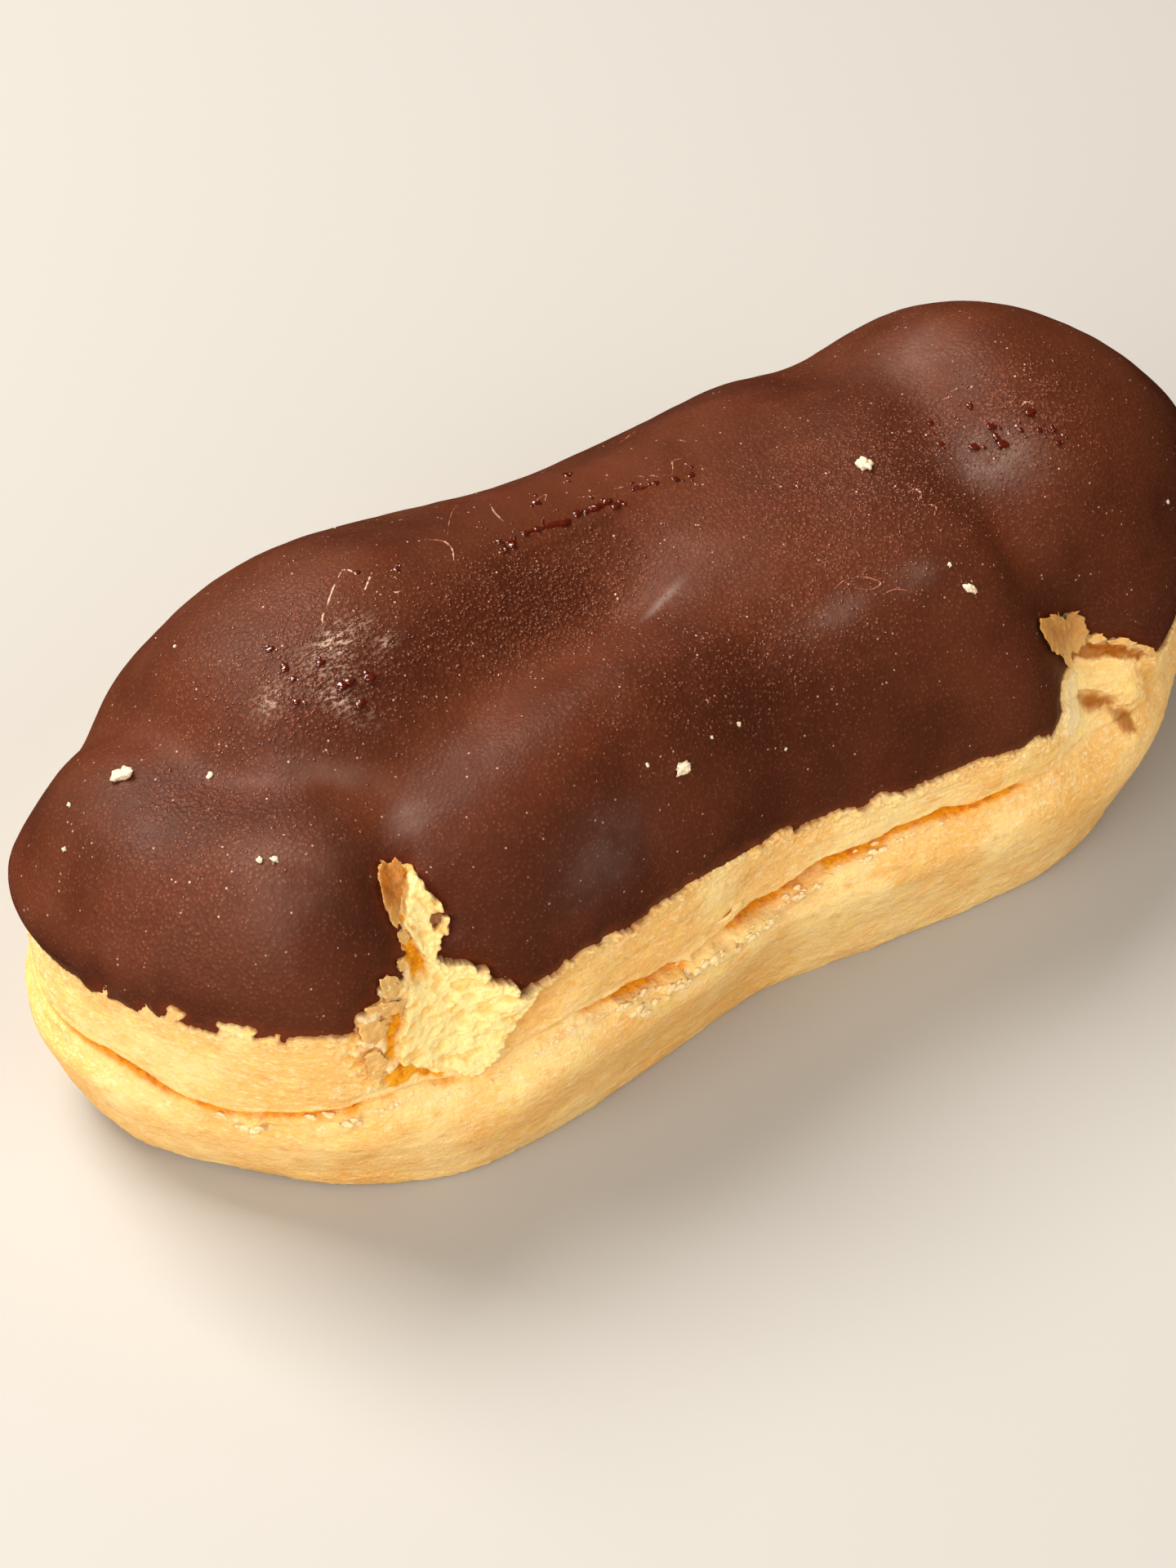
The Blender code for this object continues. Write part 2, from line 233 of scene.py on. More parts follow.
@dataclass(frozen=True)
class BunForm:
    """The one form that pastry and coat share: a lobed outline, a meridian and a list of swells.

    swing runs from 0 at the crown through a quarter turn at the widest line to a half turn at the rim of
    the base, and on to three quarters of a turn at the middle of the flat base. A column is a direction
    seen from above in which a line runs from the crown to the base.
    """

    half_length: float = 33.6
    half_width: float = 14.4
    crown_height: float = 23.2
    widest_height: float = 9.8
    base_spread: float = 0.92
    outline_power: float = 2.08
    side_power: float = 2.3
    end_power: float = 3.7
    crown_power: float = 2.17
    lobes: tuple[tuple[float, float, float], ...] = (
        (-92.0, 28.0, -0.117),
        (211.5, 16.0, 0.162),
        (157.0, 16.0, 0.070),
        (-33.5, 16.0, 0.157),
        (180.0, 14.0, 0.025),
        (0.0, 14.0, 0.093),
    )
    swells: tuple[Swell, ...] = SWELLS
    shell_bulge: float = 0.7
    shell_bulge_height: float = 6.3
    shell_bulge_half: float = 2.8
    base_fade: float = 3.0
    edge_base: float = 13.4
    edge_waves: tuple[tuple[float, int, float], ...] = ((0.22, 5, 1.0), (0.14, 11, 0.0))
    edge_drop: float = 1.2
    edge_drop_from: float = -25.0
    edge_drop_over: float = 12.0
    end_drop: float = 2.0
    end_drop_at: float = 168.0
    end_drop_half: float = 14.0
    tooth_drop: float = 1.2
    tooth_x: float = 15.8
    tooth_half: float = 1.5
    slot_x: float = -23.4
    slot_half: float = 1.5
    slot_rise: float = 6.4
    slot_lean: float = 3.3
    slot_lean_half: float = 5.0
    slot_lean_shares: tuple[float, float] = (0.91, 0.79)
    keep_share: float = 0.6
    keep_power: int = 6
    flare_x: float = -21.8
    flare_half: float = 3.5
    flare_rise: float = 2.3
    notch_x: float = 17.3
    notch_rise: float = 5.8
    notch_steep: float = 0.8
    notch_slope: float = 3.5
    crease_base: float = 9.3
    crease_climb: float = 1.0
    heel_lift: float = 0.2
    heel_at: tuple[float, float] = (-29.5, -9.0)
    heel_reach: tuple[float, float] = (7.0, 5.0)

    def outline_radius(self, angle: Array) -> Array:
        """Distance of the widest outline from the middle: a superellipse times its lobes.

        Args:
            angle: directions seen from above, in radians.

        Returns:
            Radii in millimetres.
        """
        along = np.abs(np.cos(angle) / self.half_length) ** self.outline_power
        across = np.abs(np.sin(angle) / self.half_width) ** self.outline_power
        radius = (along + across) ** (-1 / self.outline_power)
        for direction, half, share in self.lobes:
            away = (angle - np.radians(direction) + np.pi) % FULL_TURN - np.pi
            radius = radius * (1 + share * bell(away, 0.0, np.radians(half)))
        return radius

    def shoulder_power(self, angle: Array) -> Array:
        """How boxy the meridian is in each direction."""
        return self.side_power + (self.end_power - self.side_power) * np.cos(angle) ** 2

    def plain(self, angle: Array, swing: Array) -> Array:
        """Points of the form without swells: superellipse above the widest line, ellipse below it.

        Args:
            angle: directions seen from above, in radians.
            swing: swings, in radians.

        Returns:
            Points in millimetres.
        """
        sine = np.abs(np.sin(swing))
        cosine = np.abs(np.cos(swing))
        above = swing <= np.pi / 2
        below = swing <= np.pi
        spread = self.base_spread + (1 - self.base_spread) * sine
        share = np.where(above, sine, np.where(below, spread, self.base_spread * cosine))
        climb = np.clip(1 - sine ** self.shoulder_power(angle), 0.0, 1.0) ** (1 / self.crown_power)
        upper = self.widest_height + (self.crown_height - self.widest_height) * climb
        height = np.where(above, upper, np.where(below, self.widest_height * (1 - cosine), 0.0))
        radius = share * self.outline_radius(angle)
        return np.stack([radius * np.cos(angle), radius * np.sin(angle), height], axis=-1)

    def swing_at_height(self, angle: Array, height: Array) -> Array:
        """Swing at which the plain form has a height, above or below its widest line.

        Args:
            angle: directions seen from above, in radians.
            height: heights in millimetres.

        Returns:
            Swings in radians.
        """
        climb = (height - self.widest_height) / (self.crown_height - self.widest_height)
        climb = np.clip(climb, 0.0, 1.0)
        upper = np.arcsin((1 - climb**self.crown_power) ** (1 / self.shoulder_power(angle)))
        lower = np.pi - np.arccos(np.clip(1 - height / self.widest_height, 0.0, 1.0))
        return np.where(height >= self.widest_height, upper, lower)

    def normals(self, angle: Array, swing: Array) -> Array:
        """Unit normals of the plain form, from small steps along both parameters.

        Args:
            angle: directions seen from above, in radians.
            swing: swings, in radians.

        Returns:
            Unit vectors that point outwards.
        """
        step = 1e-4
        around = self.plain(angle + step, swing) - self.plain(angle - step, swing)
        down = self.plain(angle, swing + step) - self.plain(angle, np.maximum(swing - step, 0.0))
        normal = np.cross(down, around)
        normal = normal / np.maximum(np.linalg.norm(normal, axis=-1, keepdims=True), 1e-12)
        normal[swing < 0.01] = (0.0, 0.0, 1.0)
        normal[swing > np.pi - 0.02] = (0.0, 0.0, -1.0)
        return normal

    def swell_height(self, points: Array) -> Array:
        """Height of all the swells and the shell's bulge, fading out towards the base."""
        height = points[..., 2]
        total = sum(swell.over(points) for swell in self.swells)
        total = total + self.shell_bulge * bell(height, self.shell_bulge_height, self.shell_bulge_half)
        return total * smooth_step(height, 0.0, self.base_fade)

    def heel(self, points: Array) -> Array:
        """How far the rim of the base lifts near the front left corner."""
        along = (points[..., 0] - self.heel_at[0]) / self.heel_reach[0]
        across = (points[..., 1] - self.heel_at[1]) / self.heel_reach[1]
        return self.heel_lift * bell(points[..., 2], 0.0, self.base_fade) * np.exp(-(along**2 + across**2))

    def crease_height(self, x: Array) -> Array:
        """Height of the crease between the lower shell and the upper strip."""
        return self.crease_base + self.crease_climb * x / self.half_length

    def rim_x(self, column: Array) -> Array:
        """x of each column on the widest outline."""
        return self.outline_radius(column) * np.cos(column)

    def facing(self, column: Array) -> Array:
        """1 for the columns in front and 0 behind, with a soft change at both ends."""
        return 0.5 - 0.5 * np.tanh(4 * np.sin(column))

    def edge_height(self, column: Array, torn: bool = True) -> Array:
        """Height of the coat's lower edge, with its two notches or, if torn is false, without them.

        Args:
            column: columns, in radians.
            torn: whether the notches are cut into it.

        Returns:
            Heights in millimetres.
        """
        x = self.rim_x(column)
        wave = sum(rise * np.sin(times * column + shift) for rise, times, shift in self.edge_waves)
        end = bell(column, np.radians(self.end_drop_at), np.radians(self.end_drop_half))
        wave = wave - self.end_drop * end
        drop = self.edge_drop * np.clip((x - self.edge_drop_from) / self.edge_drop_over, 0.0, 1.0)
        drop = drop + self.tooth_drop * bell(x, self.tooth_x, self.tooth_half)
        rise = -drop
        if torn:
            slot = self.slot_rise * np.exp(-(((x - self.slot_x) / self.slot_half) ** 4))
            flare = self.flare_rise * np.exp(-(((x - self.flare_x) / self.flare_half) ** 4))
            steep = np.minimum(x - self.notch_x, 0.0) / self.notch_steep
            slope = np.maximum(x - self.notch_x, 0.0) / self.notch_slope
            rise = rise + np.maximum(slot, flare) + self.notch_rise * np.exp(-(steep**2) - slope**2)
        return self.edge_base + wave + rise * self.facing(column)

    def lean(self, column: Array, swing: Array) -> Array:
        """Direction of a column at each swing: near the rim it keeps its own x, most of all at the slot.

        Args:
            column: columns, in radians.
            swing: swings, in radians.

        Returns:
            Directions in radians.
        """
        share = np.where(swing < np.pi / 2, np.sin(swing), 1.0)
        power = self.keep_power
        keep = self.keep_share**power
        squeeze = ((share**power + keep) / (1 + keep)) ** (1 / power)
        near = bell(self.rim_x(column), self.slot_x, self.slot_lean_half) * self.facing(column)
        start, end = self.slot_lean_shares
        lean = np.radians(self.slot_lean) * near * (1 - smooth_step(share, end, start))
        return np.arctan2(squeeze * np.sin(column), np.cos(column)) - lean

    def columns(self, count: int, front: float, notches: float) -> Array:
        """Columns spaced along the outline, closer by the given weights in front and at the notches.

        Args:
            count: number of columns.
            front: weight in front, where the back has 1.
            notches: weight at the notches.

        Returns:
            Columns in radians, in order.
        """
        samples = 8001
        half = 5.0
        angle = np.linspace(0.0, FULL_TURN, samples)
        radius = self.outline_radius(angle)
        x, y = radius * np.cos(angle), radius * np.sin(angle)
        near = bell(x, self.flare_x, half) + bell(x, self.notch_x + 1.5, half)
        density = 1 + ((front - 1) + (notches - front) * near) * smooth_step(-y, -4.0, 4.0)
        travel = np.hypot(np.diff(x), np.diff(y)) * (density[1:] + density[:-1]) / 2
        travel = np.concatenate([[0.0], np.cumsum(travel)])
        return np.interp(np.linspace(0.0, travel[-1], count, endpoint=False), travel, angle)

    def above(self, x: Array, y: Array) -> tuple[Array, Array]:
        """Angle and swing of the upper form's points over x and y of the plain form."""
        angle = np.arctan2(y, x)
        share = np.clip(np.hypot(x, y) / self.outline_radius(angle), 0.0, 1.0)
        return angle, np.arcsin(share)

    def front(self, x: Array, z: Array) -> tuple[Array, Array]:
        """Angle and swing of the front's points at x and z of the plain form, by halving the angle.

        Args:
            x: x of each point.
            z: height of each point.

        Returns:
            Angle and swing of each point.
        """
        halvings = 32
        low = np.full(np.shape(x), np.pi + 0.01)
        high = np.full(np.shape(x), FULL_TURN - 0.01)
        for _ in range(halvings):
            middle = (low + high) / 2
            swing = self.swing_at_height(middle, z)
            past = self.plain(middle, swing)[..., 0] > x
            high = np.where(past, middle, high)
            low = np.where(past, low, middle)
        angle = (low + high) / 2
        return angle, self.swing_at_height(angle, z)

    def on_skin(self, angle: Array, swing: Array, offset: Array) -> tuple[Array, Array]:
        """Points at an offset from the true form, and the plain form's normals there."""
        plain = self.plain(angle, swing)
        normal = self.normals(angle, swing)
        return plain + normal * (self.swell_height(plain) + offset)[..., None], normal


def inside(corners: Array, x: Array, z: Array) -> Array:
    """Whether points lie in a closed outline: an odd number of its sides lies beyond them.

    Args:
        corners: the outline's corners, as x and height.
        x: x of each point.
        z: height of each point.

    Returns:
        True for each point inside.
    """
    count = np.zeros(np.shape(x), dtype=int)
    for start, end in zip(corners, np.roll(corners, -1, axis=0)):
        crosses = (start[1] > z) != (end[1] > z)
        rise = end[1] - start[1] if end[1] != start[1] else 1e-9
        count += crosses & (x < start[0] + (z - start[1]) * (end[0] - start[0]) / rise)
    return count % 2 == 1


def depth_inside(corners: Array, x: Array, z: Array) -> Array:
    """Distance from a closed outline's sides, above zero inside it.

    Args:
        corners: the outline's corners, as x and height.
        x: x of each point.
        z: height of each point.

    Returns:
        Distances in millimetres.
    """
    nearest = np.full(np.shape(x), np.inf)
    for start, end in zip(corners, np.roll(corners, -1, axis=0)):
        side = end - start
        share = ((x - start[0]) * side[0] + (z - start[1]) * side[1]) / (side @ side)
        share = np.clip(share, 0.0, 1.0)
        away = np.hypot(x - start[0] - share * side[0], z - start[1] - share * side[1])
        nearest = np.minimum(nearest, away)
    return np.where(inside(corners, x, z), nearest, -nearest)


# Corners of the coat's torn edge in the photograph's pixels: left end, left notch, front, right notch
TORN_LINE = (
    (80, 1181), (97, 1199), (101, 1206), (107, 1212), (120, 1214), (122, 1206), (127, 1204), (131, 1210),
    (131, 1222), (140, 1225), (151, 1231), (160, 1236), (170, 1241), (175, 1230), (180, 1231), (182, 1237),
    (192, 1247), (197, 1246), (204, 1236), (210, 1234), (220, 1239), (227, 1245), (216, 1252), (226, 1255),
    (232, 1259), (250, 1264), (260, 1266), (264, 1261), (266, 1257), (286, 1256), (300, 1261), (315, 1262),
    (310, 1275), (320, 1275), (335, 1269), (346, 1267), (342, 1282), (348, 1281), (352, 1272), (385, 1272),
    (420, 1270), (436, 1271), (437, 1249), (452, 1233), (466, 1228), (463, 1214), (474, 1195), (488, 1203),
    (498, 1198), (487, 1186), (487, 1176), (498, 1171), (489, 1158), (487, 1143), (494, 1137), (482, 1132),
    (471, 1110), (462, 1060), (478, 1055), (503, 1058), (515, 1077), (526, 1096), (540, 1106), (544, 1120),
    (550, 1141), (540, 1145), (538, 1157), (534, 1171), (549, 1179), (572, 1177), (582, 1186), (598, 1183),
    (596, 1202), (616, 1201), (632, 1204), (635, 1217), (650, 1214), (656, 1207), (680, 1195), (692, 1186),
    (695, 1179), (703, 1178), (711, 1170), (720, 1163), (740, 1156), (743, 1148), (751, 1143), (765, 1142),
    (776, 1139), (781, 1132), (798, 1123), (800, 1116), (809, 1110), (821, 1103), (838, 1093), (845, 1083),
    (853, 1080), (864, 1076), (874, 1070), (881, 1060), (892, 1056), (895, 1050), (900, 1053), (912, 1047),
    (918, 1039), (936, 1036), (945, 1029), (953, 1022), (971, 1013), (974, 1022), (983, 1016), (998, 1007),
    (1015, 1001), (1030, 995), (1059, 992), (1065, 988), (1074, 979), (1083, 972), (1095, 974), (1109, 972),
    (1134, 961), (1180, 943), (1204, 931), (1220, 930), (1258, 918), (1272, 905), (1293, 903), (1300, 888),
    (1305, 872), (1302, 858), (1304, 836), (1313, 817), (1300, 797), (1288, 790), (1281, 773), (1276, 760),
    (1296, 754), (1300, 761), (1308, 751), (1320, 752), (1328, 764), (1326, 775), (1334, 779), (1346, 777),
    (1360, 784), (1376, 781), (1396, 789), (1411, 794), (1421, 805),
)


class TornEdge:
    """The coat's lower edge as a fine closed line on the plain form, torn in front."""

    def __init__(self, form: BunForm, sight: Sight, count: int = 2600, step: float = 0.06) -> None:
        """Samples the smooth edge, and puts the torn line in its place between the line's ends.

        Args:
            form: the bun's form.
            sight: finds the photograph's pixels on the bun.
            count: columns that sample the smooth edge.
            step: spacing of the torn line.
        """
        self.form = form
        column = form.columns(count, 1.0, 4.0)
        swing = form.swing_at_height(column, form.edge_height(column, torn=False))
        smooth = form.plain(form.lean(column, swing), swing)
        front = smooth[:, 1] < 0.0
        order = np.argsort(smooth[front, 0])
        edge_x, edge_z = smooth[front][order, 0], smooth[front][order, 2]
        corners = sight.front_places(TORN_LINE)
        for end in (0, -1):
            corners[end, 1] = np.interp(corners[end, 0], edge_x, edge_z)
        keep = ~(front & (smooth[:, 0] > corners[0, 0]) & (smooth[:, 0] < corners[-1, 0]))
        length = np.append(0.0, np.cumsum(np.hypot(*np.diff(corners, axis=0).T)))
        travel = np.arange(0.0, length[-1], step)
        x = np.interp(travel, length, corners[:, 0])
        z = np.interp(travel, length, corners[:, 1])
        self.points = np.concatenate([smooth[keep], form.plain(*form.front(x, z))])
        self.corners = corners

    def distance(self, plain: Array, column: Array, height: Array) -> Array:
        """Distance of points from the line, above zero on the pastry's side and below it on the coat's.

        Args:
            plain: points on the plain form.
            column: each point's column.
            height: each point's nominal height in its column.

        Returns:
            Signed distances, worked out by blocks.
        """
        flat = plain.reshape(-1, 3)
        square = (self.points**2).sum(axis=1)
        nearest = np.empty(len(flat))
        block = 6000
        for start in range(0, len(flat), block):
            part = flat[start : start + block]
            away = (part**2).sum(axis=1)[:, None] + square[None, :] - 2 * part @ self.points.T
            nearest[start : start + block] = np.sqrt(np.maximum(away.min(axis=1), 0.0))
        pastry = height < self.form.edge_height(column, torn=False)
        x, y, z = plain[..., 0], plain[..., 1], plain[..., 2]
        first, last = self.corners[0, 0], self.corners[-1, 0]
        within = (y < 0.0) & (x > first) & (x < last)
        outline = np.concatenate([self.corners, np.array([(last, -1.0), (first, -1.0)])])
        pastry = np.where(within, inside(outline, x, z), pastry)
        return nearest.reshape(pastry.shape) * np.where(pastry, 1.0, -1.0)


@dataclass(frozen=True)
class Mark:
    """A place on the front, as x and height, with two radii, a turn in degrees and a strength."""

    name: str
    at: tuple[float, float]
    radii: tuple[float, float]
    turn: float
    strength: float
    power: float = 2.4

    def over(self, plain: Array) -> Array:
        """Strength times a flat-topped bell: exp of minus the elliptic distance to a power."""
        along, across = turned_shares(plain[..., 0], plain[..., 2], self.at, self.radii, self.turn)
        shape = np.exp(-((along**2 + across**2) ** (self.power / 2)))
        return self.strength * shape * smooth_step(-plain[..., 1], 2.0, 6.0)


TORN_RELIEF = (
    Mark("soft valley", (-17.2, 10.9), (1.5, 2.6), -35, -0.50),
    Mark("right fold", (24.0, 10.4), (0.6, 2.2), 25, -0.35),
    Mark("second lip of the shell", (-0.5, 7.65), (6.5, 0.3), 2, 0.16),
    Mark("step under that lip", (-0.5, 7.1), (6.5, 0.3), 2, -0.10),
)


class Kind(Enum):
    """What a torn place of the pastry is like."""

    CRUMB = "crumb"
    FLAKY = "flaky"
    # Torn hollows, filled with painted orange shade
    SHADED_HOLLOW = "hollow"
    # Brownish places in the right notch: painted shade in its cavity and pits
    OCHRE_SHADE = "ochre_shade"
    NICK = "nick"
    RIDGE = "ridge"


@dataclass(frozen=True)
class TornPlace:
    """A torn place on the front: its outline in the photograph's pixels, rise, soft border and fullness."""

    name: str
    kind: Kind
    rise: float
    soft: float
    pixels: tuple[tuple[int, int], ...]
    full: float = 1.0
    offset: float = 0.3


TORN_PLACES = (
    TornPlace("left crumb patch", Kind.CRUMB, 0.50, 0.14, (
        (504, 1206), (520, 1184), (548, 1172), (572, 1170), (600, 1178), (636, 1200), (658, 1210),
        (646, 1240), (628, 1268), (604, 1306), (576, 1320), (556, 1314), (532, 1318), (510, 1306),
        (486, 1302), (490, 1284), (482, 1270), (494, 1258), (490, 1240), (498, 1228),
    )),
    TornPlace("crumb piece in the slot", Kind.CRUMB, 0.45, 0.08, (
        (499, 1062), (514, 1074), (530, 1094), (546, 1106), (550, 1122), (556, 1142), (544, 1150),
        (542, 1166), (540, 1178), (524, 1182), (514, 1168), (502, 1150), (497, 1128), (495, 1104),
        (497, 1082),
    )),
    TornPlace("gap beside the flap", Kind.SHADED_HOLLOW, -0.65, 0.06, (
        (493, 1060), (498, 1062), (496, 1084), (494, 1104), (492, 1124), (487, 1128), (489, 1104),
        (491, 1080),
    )),
    TornPlace("nick of the crumb piece", Kind.NICK, -0.70, 0.06, (
        (526, 1126), (536, 1117), (543, 1119), (542, 1130), (533, 1135),
    )),
    TornPlace("hollow under the slot", Kind.SHADED_HOLLOW, -0.40, 0.12, (
        (492, 1152), (504, 1146), (512, 1160), (522, 1178), (524, 1192), (512, 1204), (502, 1198),
        (496, 1174),
    )),
    TornPlace("flaky band", Kind.FLAKY, 0.10, 0.25, (
        (430, 1262), (440, 1240), (456, 1222), (466, 1196), (490, 1196), (500, 1212), (496, 1240),
        (490, 1270), (492, 1304), (478, 1336), (446, 1342), (426, 1320), (424, 1290),
    )),
    TornPlace("shade between flakes", Kind.SHADED_HOLLOW, -0.35, 0.12, (
        (478, 1242), (492, 1226), (496, 1250), (486, 1272), (482, 1300), (472, 1292), (474, 1264),
    )),
    TornPlace("shade under the flakes", Kind.SHADED_HOLLOW, -0.40, 0.14, (
        (476, 1324), (490, 1308), (520, 1312), (556, 1321), (548, 1329), (510, 1326), (490, 1338),
        (474, 1342),
    )),
    TornPlace("right cavity", Kind.OCHRE_SHADE, -0.95, 0.14, (
        (1312, 812), (1326, 794), (1342, 786), (1362, 789), (1382, 790), (1406, 800), (1400, 812),
        (1380, 806), (1356, 804), (1334, 809),
    )),
    TornPlace("right crumb bump", Kind.CRUMB, 0.42, 0.85, (
        (1322, 824), (1340, 810), (1364, 808), (1388, 814), (1402, 826), (1404, 848), (1388, 862),
        (1368, 862), (1348, 852), (1330, 854), (1320, 840),
    ), 0.40),
    TornPlace("pale lip, first", Kind.CRUMB, 0.10, 0.10, (
        (752, 1228), (772, 1223), (800, 1224), (802, 1236), (780, 1242), (756, 1240),
    ), 0.5, -0.3),
    TornPlace("pale lip, second", Kind.CRUMB, 0.30, 0.10, (
        (804, 1206), (816, 1196), (832, 1188), (838, 1196), (828, 1208), (812, 1218), (805, 1214),
    ), 0.7, -0.3),
    TornPlace("pale lip, third", Kind.CRUMB, 0.18, 0.12, (
        (840, 1172), (860, 1161), (884, 1157), (896, 1152), (900, 1161), (886, 1172), (868, 1182),
        (850, 1190), (840, 1186),
    ), 0.6, -0.3),
    TornPlace("pale lip, fourth", Kind.CRUMB, 0.28, 0.10, (
        (893, 1140), (910, 1131), (930, 1118), (944, 1113), (940, 1123), (922, 1135), (904, 1149),
        (895, 1148),
    ), 0.7, -0.3),
    TornPlace("pale lip, fifth", Kind.CRUMB, 0.12, 0.12, (
        (962, 1094), (984, 1080), (1010, 1064), (1014, 1070), (990, 1088), (972, 1100),
    ), 0.35, -0.3),
    TornPlace("pale lip on the left", Kind.CRUMB, 0.15, 0.10, (
        (296, 1369), (316, 1368), (322, 1378), (308, 1386), (294, 1380),
    ), 0.5, -0.3),
    TornPlace("pale lip by the notch", Kind.CRUMB, 0.15, 0.10, (
        (384, 1376), (410, 1367), (436, 1366), (434, 1378), (406, 1390), (384, 1388),
    ), 0.5, -0.3),
    TornPlace("right pit, left", Kind.OCHRE_SHADE, -0.45, 0.34, (
        (1320, 852), (1342, 851), (1362, 855), (1370, 864), (1352, 873), (1330, 870),
    ), 0.95),
    TornPlace("right pit, low", Kind.OCHRE_SHADE, -0.60, 0.26, (
        (1362, 869), (1382, 869), (1399, 878), (1402, 899), (1393, 905), (1383, 894), (1372, 886),
    ), 0.95),
    TornPlace("right ridge", Kind.RIDGE, 0.25, 0.20, (
        (1308, 836), (1316, 822), (1324, 824), (1324, 852), (1326, 880), (1318, 904), (1306, 904),
        (1306, 876),
    )),
)
# The crease in the photograph's pixels from the left end to the right, and how far it gapes there
SLIT = (
    (112, 1272, 0.2), (142, 1302, 0.9), (168, 1321, 0.9), (192, 1331, 0.8), (216, 1339, 0.45),
    (240, 1347, 0.3), (264, 1355, 0.5), (280, 1358, 0.45), (300, 1361, 0.3), (340, 1365, 0.6),
    (380, 1364, 0.55), (420, 1361, 0.5), (450, 1349, 0.2), (500, 1331, 0.1), (580, 1322, 0.1),
    (640, 1283, 0.0), (700, 1243, 0.15), (724, 1234, 0.3), (752, 1219, 0.35), (770, 1209, 0.5),
    (790, 1202, 0.6), (815, 1187, 0.95), (832, 1180, 0.5), (856, 1160, 0.0), (884, 1137, 0.1),
    (903, 1121, 0.6), (920, 1108, 0.95), (945, 1095, 0.6), (963, 1082, 0.6), (983, 1071, 1.0),
    (1003, 1059, 0.9), (1030, 1047, 0.8), (1053, 1039, 0.7), (1077, 1031, 0.8), (1092, 1018, 0.5),
    (1121, 1008, 0.45), (1150, 995, 0.65), (1180, 990, 0.4), (1200, 982, 0.35), (1240, 964, 0.3),
    (1276, 950, 0.0),
)


class CreaseLine:
    """The line of the crease: on the front as the photograph shows it, elsewhere at its nominal height."""

    offset: float = -0.5
    plain_gape: float = 0.45

    def __init__(self, form: BunForm, sight: Sight) -> None:
        """Places the named pixels on the form.

        Args:
            form: the bun's form.
            sight: finds the photograph's pixels on the bun.
        """
        self.form = form
        places = sight.front_places(SLIT, self.offset)
        order = np.argsort(places[:, 0])
        self.x = places[order, 0]
        self.shift = places[order, 1] - form.crease_height(self.x)
        self.gaping = np.array([point[2] for point in SLIT])[order]

    def height(self, x: Array, y: Array) -> Array:
        """Height of the crease at x, in front where y is below zero."""
        return self.form.crease_height(x) + np.interp(x, self.x, self.shift) * smooth_step(-y, 2.0, 7.0)

    def gape(self, x: Array, y: Array) -> Array:
        """How far the crease gapes, from 0 to 1."""
        more = np.interp(x, self.x, self.gaping) - self.plain_gape
        return self.plain_gape + more * smooth_step(-y, 2.0, 7.0)


@dataclass
class Skin:
    """Offsets of a surface from the form, and the named attributes that its finish reads."""

    offset: Array
    paint: dict[str, Array] = field(default_factory=dict)


